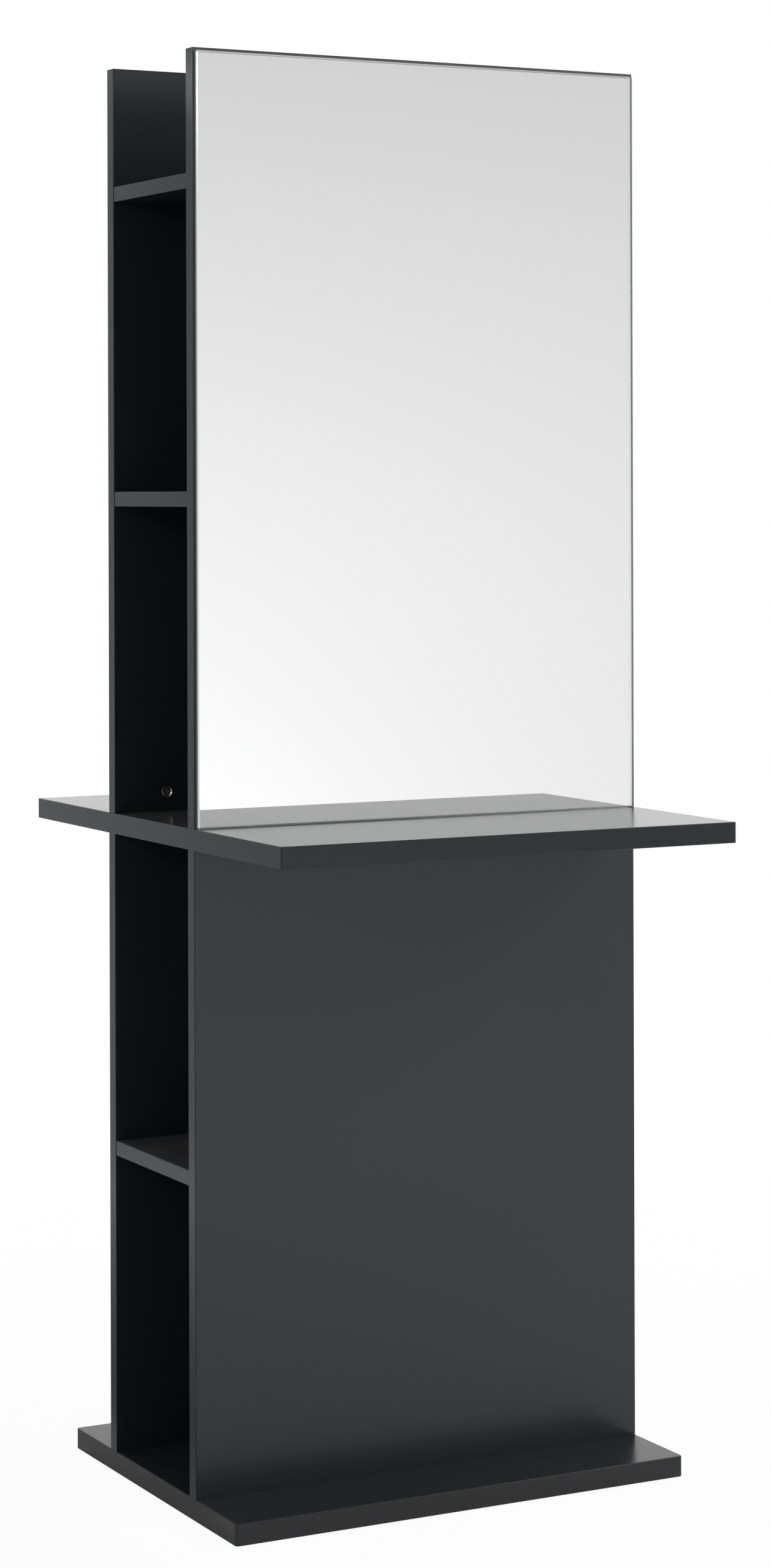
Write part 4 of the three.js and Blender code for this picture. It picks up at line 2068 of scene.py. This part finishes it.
@dataclass(frozen=True)
class PhotoCamera:
    """The level camera that took the photograph, in metres and degrees."""

    place: Vector = Vector((-1.98521, -3.80563, 1.19957))
    yaw_deg: float = 27.769
    roll_deg: float = 0.163
    focal_px: float = 5706.2
    axis_row_px: float = 810.62
    image_height_px: float = 2576.0
    sensor: float = 36.0

    def build(self) -> None:
        """Set the camera up and make it the scene's own."""
        Bench.clear()
        turn = (math.pi / 2, math.radians(self.roll_deg), -math.radians(self.yaw_deg))
        bpy.ops.object.camera_add(location=self.place, rotation=turn)
        camera = bpy.context.object
        camera.name = "photo_camera"
        camera.data.sensor_width = self.sensor
        camera.data.lens = self.focal_px * self.sensor / self.image_height_px
        camera.data.shift_y = (self.axis_row_px - self.image_height_px / 2) / self.image_height_px
        bpy.context.scene.camera = camera


@dataclass(frozen=True)
class GlowPool:
    """A soft pool of light on the room that the mirror faces, in degrees from -Y towards +X and up."""

    strength: float
    azimuth: float
    elevation: float
    along: float
    across: float
    tilt: float = 0.0

    def build(self, patch: Patch, azimuth: Socket, elevation: Socket) -> Socket:
        """Wire the pool, a round or oval bell curve.

        Args:
            patch: The world's patch.
            azimuth: The angle of each way in the plan.
            elevation: Its angle above the horizon.

        Returns:
            The light that the pool adds.
        """
        tilt = math.radians(self.tilt)
        cosine, sine = math.cos(tilt), math.sin(tilt)
        aside = patch.math("SUBTRACT", azimuth, self.azimuth)
        above = patch.math("SUBTRACT", elevation, self.elevation)
        squares = []
        for level, upright, spread in ((cosine, sine, self.along), (-sine, cosine, self.across)):
            sideways = patch.product(aside, level / spread)
            upwards = patch.product(above, upright / spread)
            reach = patch.math("ADD", sideways, upwards)
            squares.append(patch.product(reach, reach))
        fall = patch.math("EXPONENT", patch.product(patch.math("ADD", *squares), -0.5))
        return patch.product(fall, self.strength)


@dataclass
class Studio:
    """A white cove behind the station and a grey room round the rest of it."""

    floor_radius: float = 2.2
    floor_sides: int = 128
    floor_white: float = 0.88
    floor_veil: float = 0.95
    # A painted shadow on the floor's paper beside the left end, seen mostly in reflections
    painted_shadow_white: float = 0.38
    painted_shadow_in: Span = (-0.95, -0.46)
    painted_shadow_out: Span = (-0.46, -0.33)
    shadow_reach: float = 0.55
    gloss_reach: float = 1.5
    white_reach: float = 2.1
    room_low: float = 0.774
    room_high: float = 0.543
    room_span: Span = (-0.036, 0.271)
    left_front: float = 0.35
    left_front_deg: Span = (-45.0, 0.0)
    low_front: float = 0.42
    low_front_span: Span = (-0.42, -0.27)
    high_front: float = 0.72
    high_front_span: Span = (0.30, 0.45)
    side_low: float = 0.50
    side_high: float = 0.22
    side_span: Span = (-0.19, 0.12)
    left_wall: float = 0.60
    flag_deg: Span = (40.0, 65.0)
    front_to_back: Span = (-0.3, 0.3)
    overhead: float = 0.50
    overhead_span: Span = (0.60, 0.85)
    cove_left_deg: Span = (21.5, 25.2)
    cove_right_deg: Span = (-75.0, -55.0)
    cove_low: float = 0.76
    cove_low_span: Span = (-0.25, 0.25)
    pools: tuple[GlowPool, ...] = (
        GlowPool(strength=0.285, azimuth=21.3, elevation=-7.9, along=6.94, across=6.94),
        GlowPool(strength=0.26, azimuth=24.9, elevation=-9.8, along=9.2, across=2.2, tilt=-26.0),
    )
    lamps: tuple[Softbox, ...] = (
        Softbox(
            name="key_softbox",
            place=Vector((3.4, -2.2, 3.2)),
            target=Vector((0, 0, 0.8)),
            width=1.6,
            height=1.6,
            power=125.0,
        ),
        Softbox(
            name="fill_softbox",
            place=Vector((-3.2, -0.6, 3.0)),
            target=Vector((0, 0, 0.8)),
            width=1.6,
            height=1.6,
            power=12.0,
        ),
        Softbox(
            name="rim_softbox",
            place=Vector((-0.882, 1.149, 1.848)),
            target=Vector((-0.3, -0.12, 1.69)),
            width=0.03,
            height=0.06,
            power=0.045,
        ),
        Softbox(
            name="arris_softbox",
            place=Vector((-3.0, -1.374, 2.12)),
            target=Vector((-0.3, -0.13, 1.69)),
            width=0.35,
            height=0.30,
            power=11.0,
        ),
    )

    def build(self) -> None:
        """Build the floor, the surroundings, the lamps and the camera."""
        self.build_floor()
        self.build_world()
        for lamp in self.lamps:
            lamp.build()
        PhotoCamera().build()
        bpy.context.scene.view_settings.view_transform = "Standard"

    def build_floor(self) -> None:
        """Lay a pale disc that is white for the eye, keeps a shadow and is see-through from below."""
        Bench.clear()
        bpy.ops.mesh.primitive_circle_add(
            vertices=self.floor_sides, radius=self.floor_radius, fill_type="NGON"
        )
        floor = Bench.settle("studio_floor")
        material = bpy.data.materials.new("studio_floor")
        patch = Patch.fresh(material)
        where = patch.place()
        below = patch.add("ShaderNodeMixShader")
        patch.wire(below, Fac=patch.add("ShaderNodeNewGeometry").outputs["Backfacing"])
        patch.feed(below.inputs[1], self.floor_top(patch, where))
        patch.feed(below.inputs[2], patch.add("ShaderNodeBsdfTransparent").outputs["BSDF"])
        patch.wire(patch.add("ShaderNodeOutputMaterial"), Surface=below.outputs["Shader"])
        floor.data.materials.append(material)

    def floor_top(self, patch: Patch, where: Socket) -> Socket:
        """The floor seen from above.

        It is matt paper near the station with a painted shadow beside the left end, and plain white
        light further out. The eye sees it almost white all over.

        Args:
            patch: The floor's patch.
            where: The place on the floor.

        Returns:
            The shader.
        """
        across = patch.split(where)["X"]
        # The painted shadow: the paper darkens beside the left end
        beside = patch.ramp(across, *self.painted_shadow_in, self.floor_white, self.painted_shadow_white)
        paper = patch.add("ShaderNodeBsdfDiffuse")
        patch.wire(paper, Color=patch.ramp(across, *self.painted_shadow_out, beside, self.floor_white))
        distance = patch.add("ShaderNodeVectorMath", operation="LENGTH")
        patch.feed(distance.inputs[0], where)
        out = distance.outputs["Value"]
        path = patch.add("ShaderNodeLightPath").outputs
        for_eye = patch.ramp(out, self.shadow_reach, self.white_reach, self.floor_veil, 1.0)
        for_gloss = patch.ramp(out, self.gloss_reach, self.white_reach, 0.0, 1.0)
        glossy = patch.math("MAXIMUM", path["Is Glossy Ray"], path["Is Transmission Ray"])
        eye = patch.product(for_eye, path["Is Camera Ray"])
        mix = patch.add("ShaderNodeMixShader")
        patch.wire(mix, Fac=patch.math("MAXIMUM", eye, patch.product(for_gloss, glossy)))
        patch.feed(mix.inputs[1], paper.outputs["BSDF"])
        patch.feed(mix.inputs[2], patch.add("ShaderNodeEmission").outputs["Emission"])
        return mix.outputs["Shader"]

    def build_world(self) -> None:
        """White for the eye and in the cove, grey and pooled with light round the rest."""
        world = bpy.data.worlds.new("studio")
        bpy.context.scene.world = world
        patch = Patch.fresh(world)
        way = patch.split(patch.add("ShaderNodeTexCoord").outputs["Generated"])
        light = self.surroundings(patch, way["X"], way["Y"], way["Z"])
        seen = patch.add("ShaderNodeLightPath").outputs["Is Camera Ray"]
        background = patch.add("ShaderNodeBackground")
        patch.wire(background, Color=patch.blend(seen, light, (1.0, 1.0, 1.0)))
        output = patch.add("ShaderNodeOutputWorld")
        patch.wire(output, Surface=background.outputs["Background"])

    def surroundings(self, patch: Patch, x: Socket, y: Socket, z: Socket) -> Socket:
        """The light that comes from each way.

        Args:
            patch: The world's patch.
            x: How far the way goes to the right.
            y: How far it goes back.
            z: How far it goes up.

        Returns:
            The strength of the light.
        """
        front_angle = patch.math("DEGREES", patch.math("ARCTAN2", x, patch.product(y, -1.0)))
        back_angle = patch.math("DEGREES", patch.math("ARCTAN2", patch.product(x, -1.0), y))
        elevation = patch.math("DEGREES", patch.math("ARCSINE", z))
        before = patch.ramp(z, *self.room_span, self.room_low, self.room_high)
        for pool in self.pools:
            before = patch.math("ADD", before, pool.build(patch, front_angle, elevation))
        before = patch.product(
            before,
            patch.ramp(front_angle, *self.left_front_deg, self.left_front, 1.0),
            patch.ramp(z, *self.low_front_span, self.low_front, 1.0),
            patch.ramp(z, *self.high_front_span, 1.0, self.high_front),
        )
        dim = patch.ramp(z, *self.side_span, self.side_low, self.side_high)
        beside = patch.ramp(patch.math("ABSOLUTE", back_angle), *self.flag_deg, dim, self.left_wall)
        around = patch.ramp(y, *self.front_to_back, before, beside)
        around = patch.ramp(z, *self.overhead_span, around, self.overhead)
        left = patch.ramp(back_angle, *self.cove_left_deg, 1.0, 0.0)
        right = patch.ramp(back_angle, *self.cove_right_deg, 0.0, 1.0)
        cove = patch.ramp(z, *self.cove_low_span, self.cove_low, 1.0)
        return patch.vary(patch.product(left, right), around, cove)


# Assembly

BASE_CORNER = 4.5 * MM
BoreMaker = Callable[[str], list[Bore]]


def corner_bores(make: BoreMaker, kind: str, faces: Sequence[Face] = tuple(Face)) -> list[Bore]:
    """The holes for one kind of fastener at the corners.

    Args:
        make: Gives the holes of one node.
        kind: The nodes' common name.
        faces: The stations whose corners count.

    Returns:
        All the holes.
    """
    return [bore for face in faces for end in End for bore in make(corner_name(kind, face, end))]


def build_boards() -> None:
    """Build every board with its bands and holes."""
    up = functools.partial(DRILLING.screw, up=1)
    down = functools.partial(DRILLING.screw, up=-1)
    base_bores = corner_bores(up, "base_screw") + corner_bores(DRILLING.nail, "glide")
    Slab("base_board", "base_edge_band", base_bores, edging=BASE_BAND_PAINTED_LIGHT, corner=BASE_CORNER).build()
    counter_bores = corner_bores(down, "counter_screw") + corner_bores(DRILLING.bolt, "cam_bolt")
    Slab("counter_board", "counter_edge_band", counter_bores, COUNTER_MELAMINE).build()
    for face in Face:
        near = (face,)
        bores = corner_bores(up, "base_screw", near) + corner_bores(down, "counter_screw", near)
        bores += corner_bores(DRILLING.dowel, "lower_shelf_dowel", near)
        EndBandedBoard(f"lower_{face.value}_panel", bores).build()
        bores = corner_bores(functools.partial(DRILLING.cam, face=face), "cam", near)
        bores += corner_bores(DRILLING.bolt, "cam_bolt", near)
        for shelf in UPPER_SHELVES:
            bores += corner_bores(DRILLING.dowel, f"{shelf}_dowel", near)
        UpperPanel(face, bores).build()
    for shelf in SHELVES:
        EndBandedBoard(shelf, corner_bores(DRILLING.dowel, f"{shelf}_dowel"), SHELF_MELAMINE).build()


def build_hardware() -> None:
    """Build the cams and every fastener."""
    CamLock().build()
    FurnitureScrew("base_screw", Slot.SCREW).build()
    FurnitureScrew("counter_screw", Slot.SCREW, downward=True).build()
    CamBolt("cam_bolt", Slot.BOLT).build()
    for shelf in SHELVES:
        ShelfDowel(f"{shelf}_dowel", Slot.DOWEL).build()
    NailGlide("glide", Slot.GLIDE).build()


def main() -> None:
    """Build the studio and the station, piece by piece."""
    logging.basicConfig(level=logging.INFO, format="%(name)s: %(message)s")
    Studio().build()
    build_boards()
    for face in Face:
        MirrorPane(face).build()
    build_hardware()


if __name__ == "__main__":
    main()
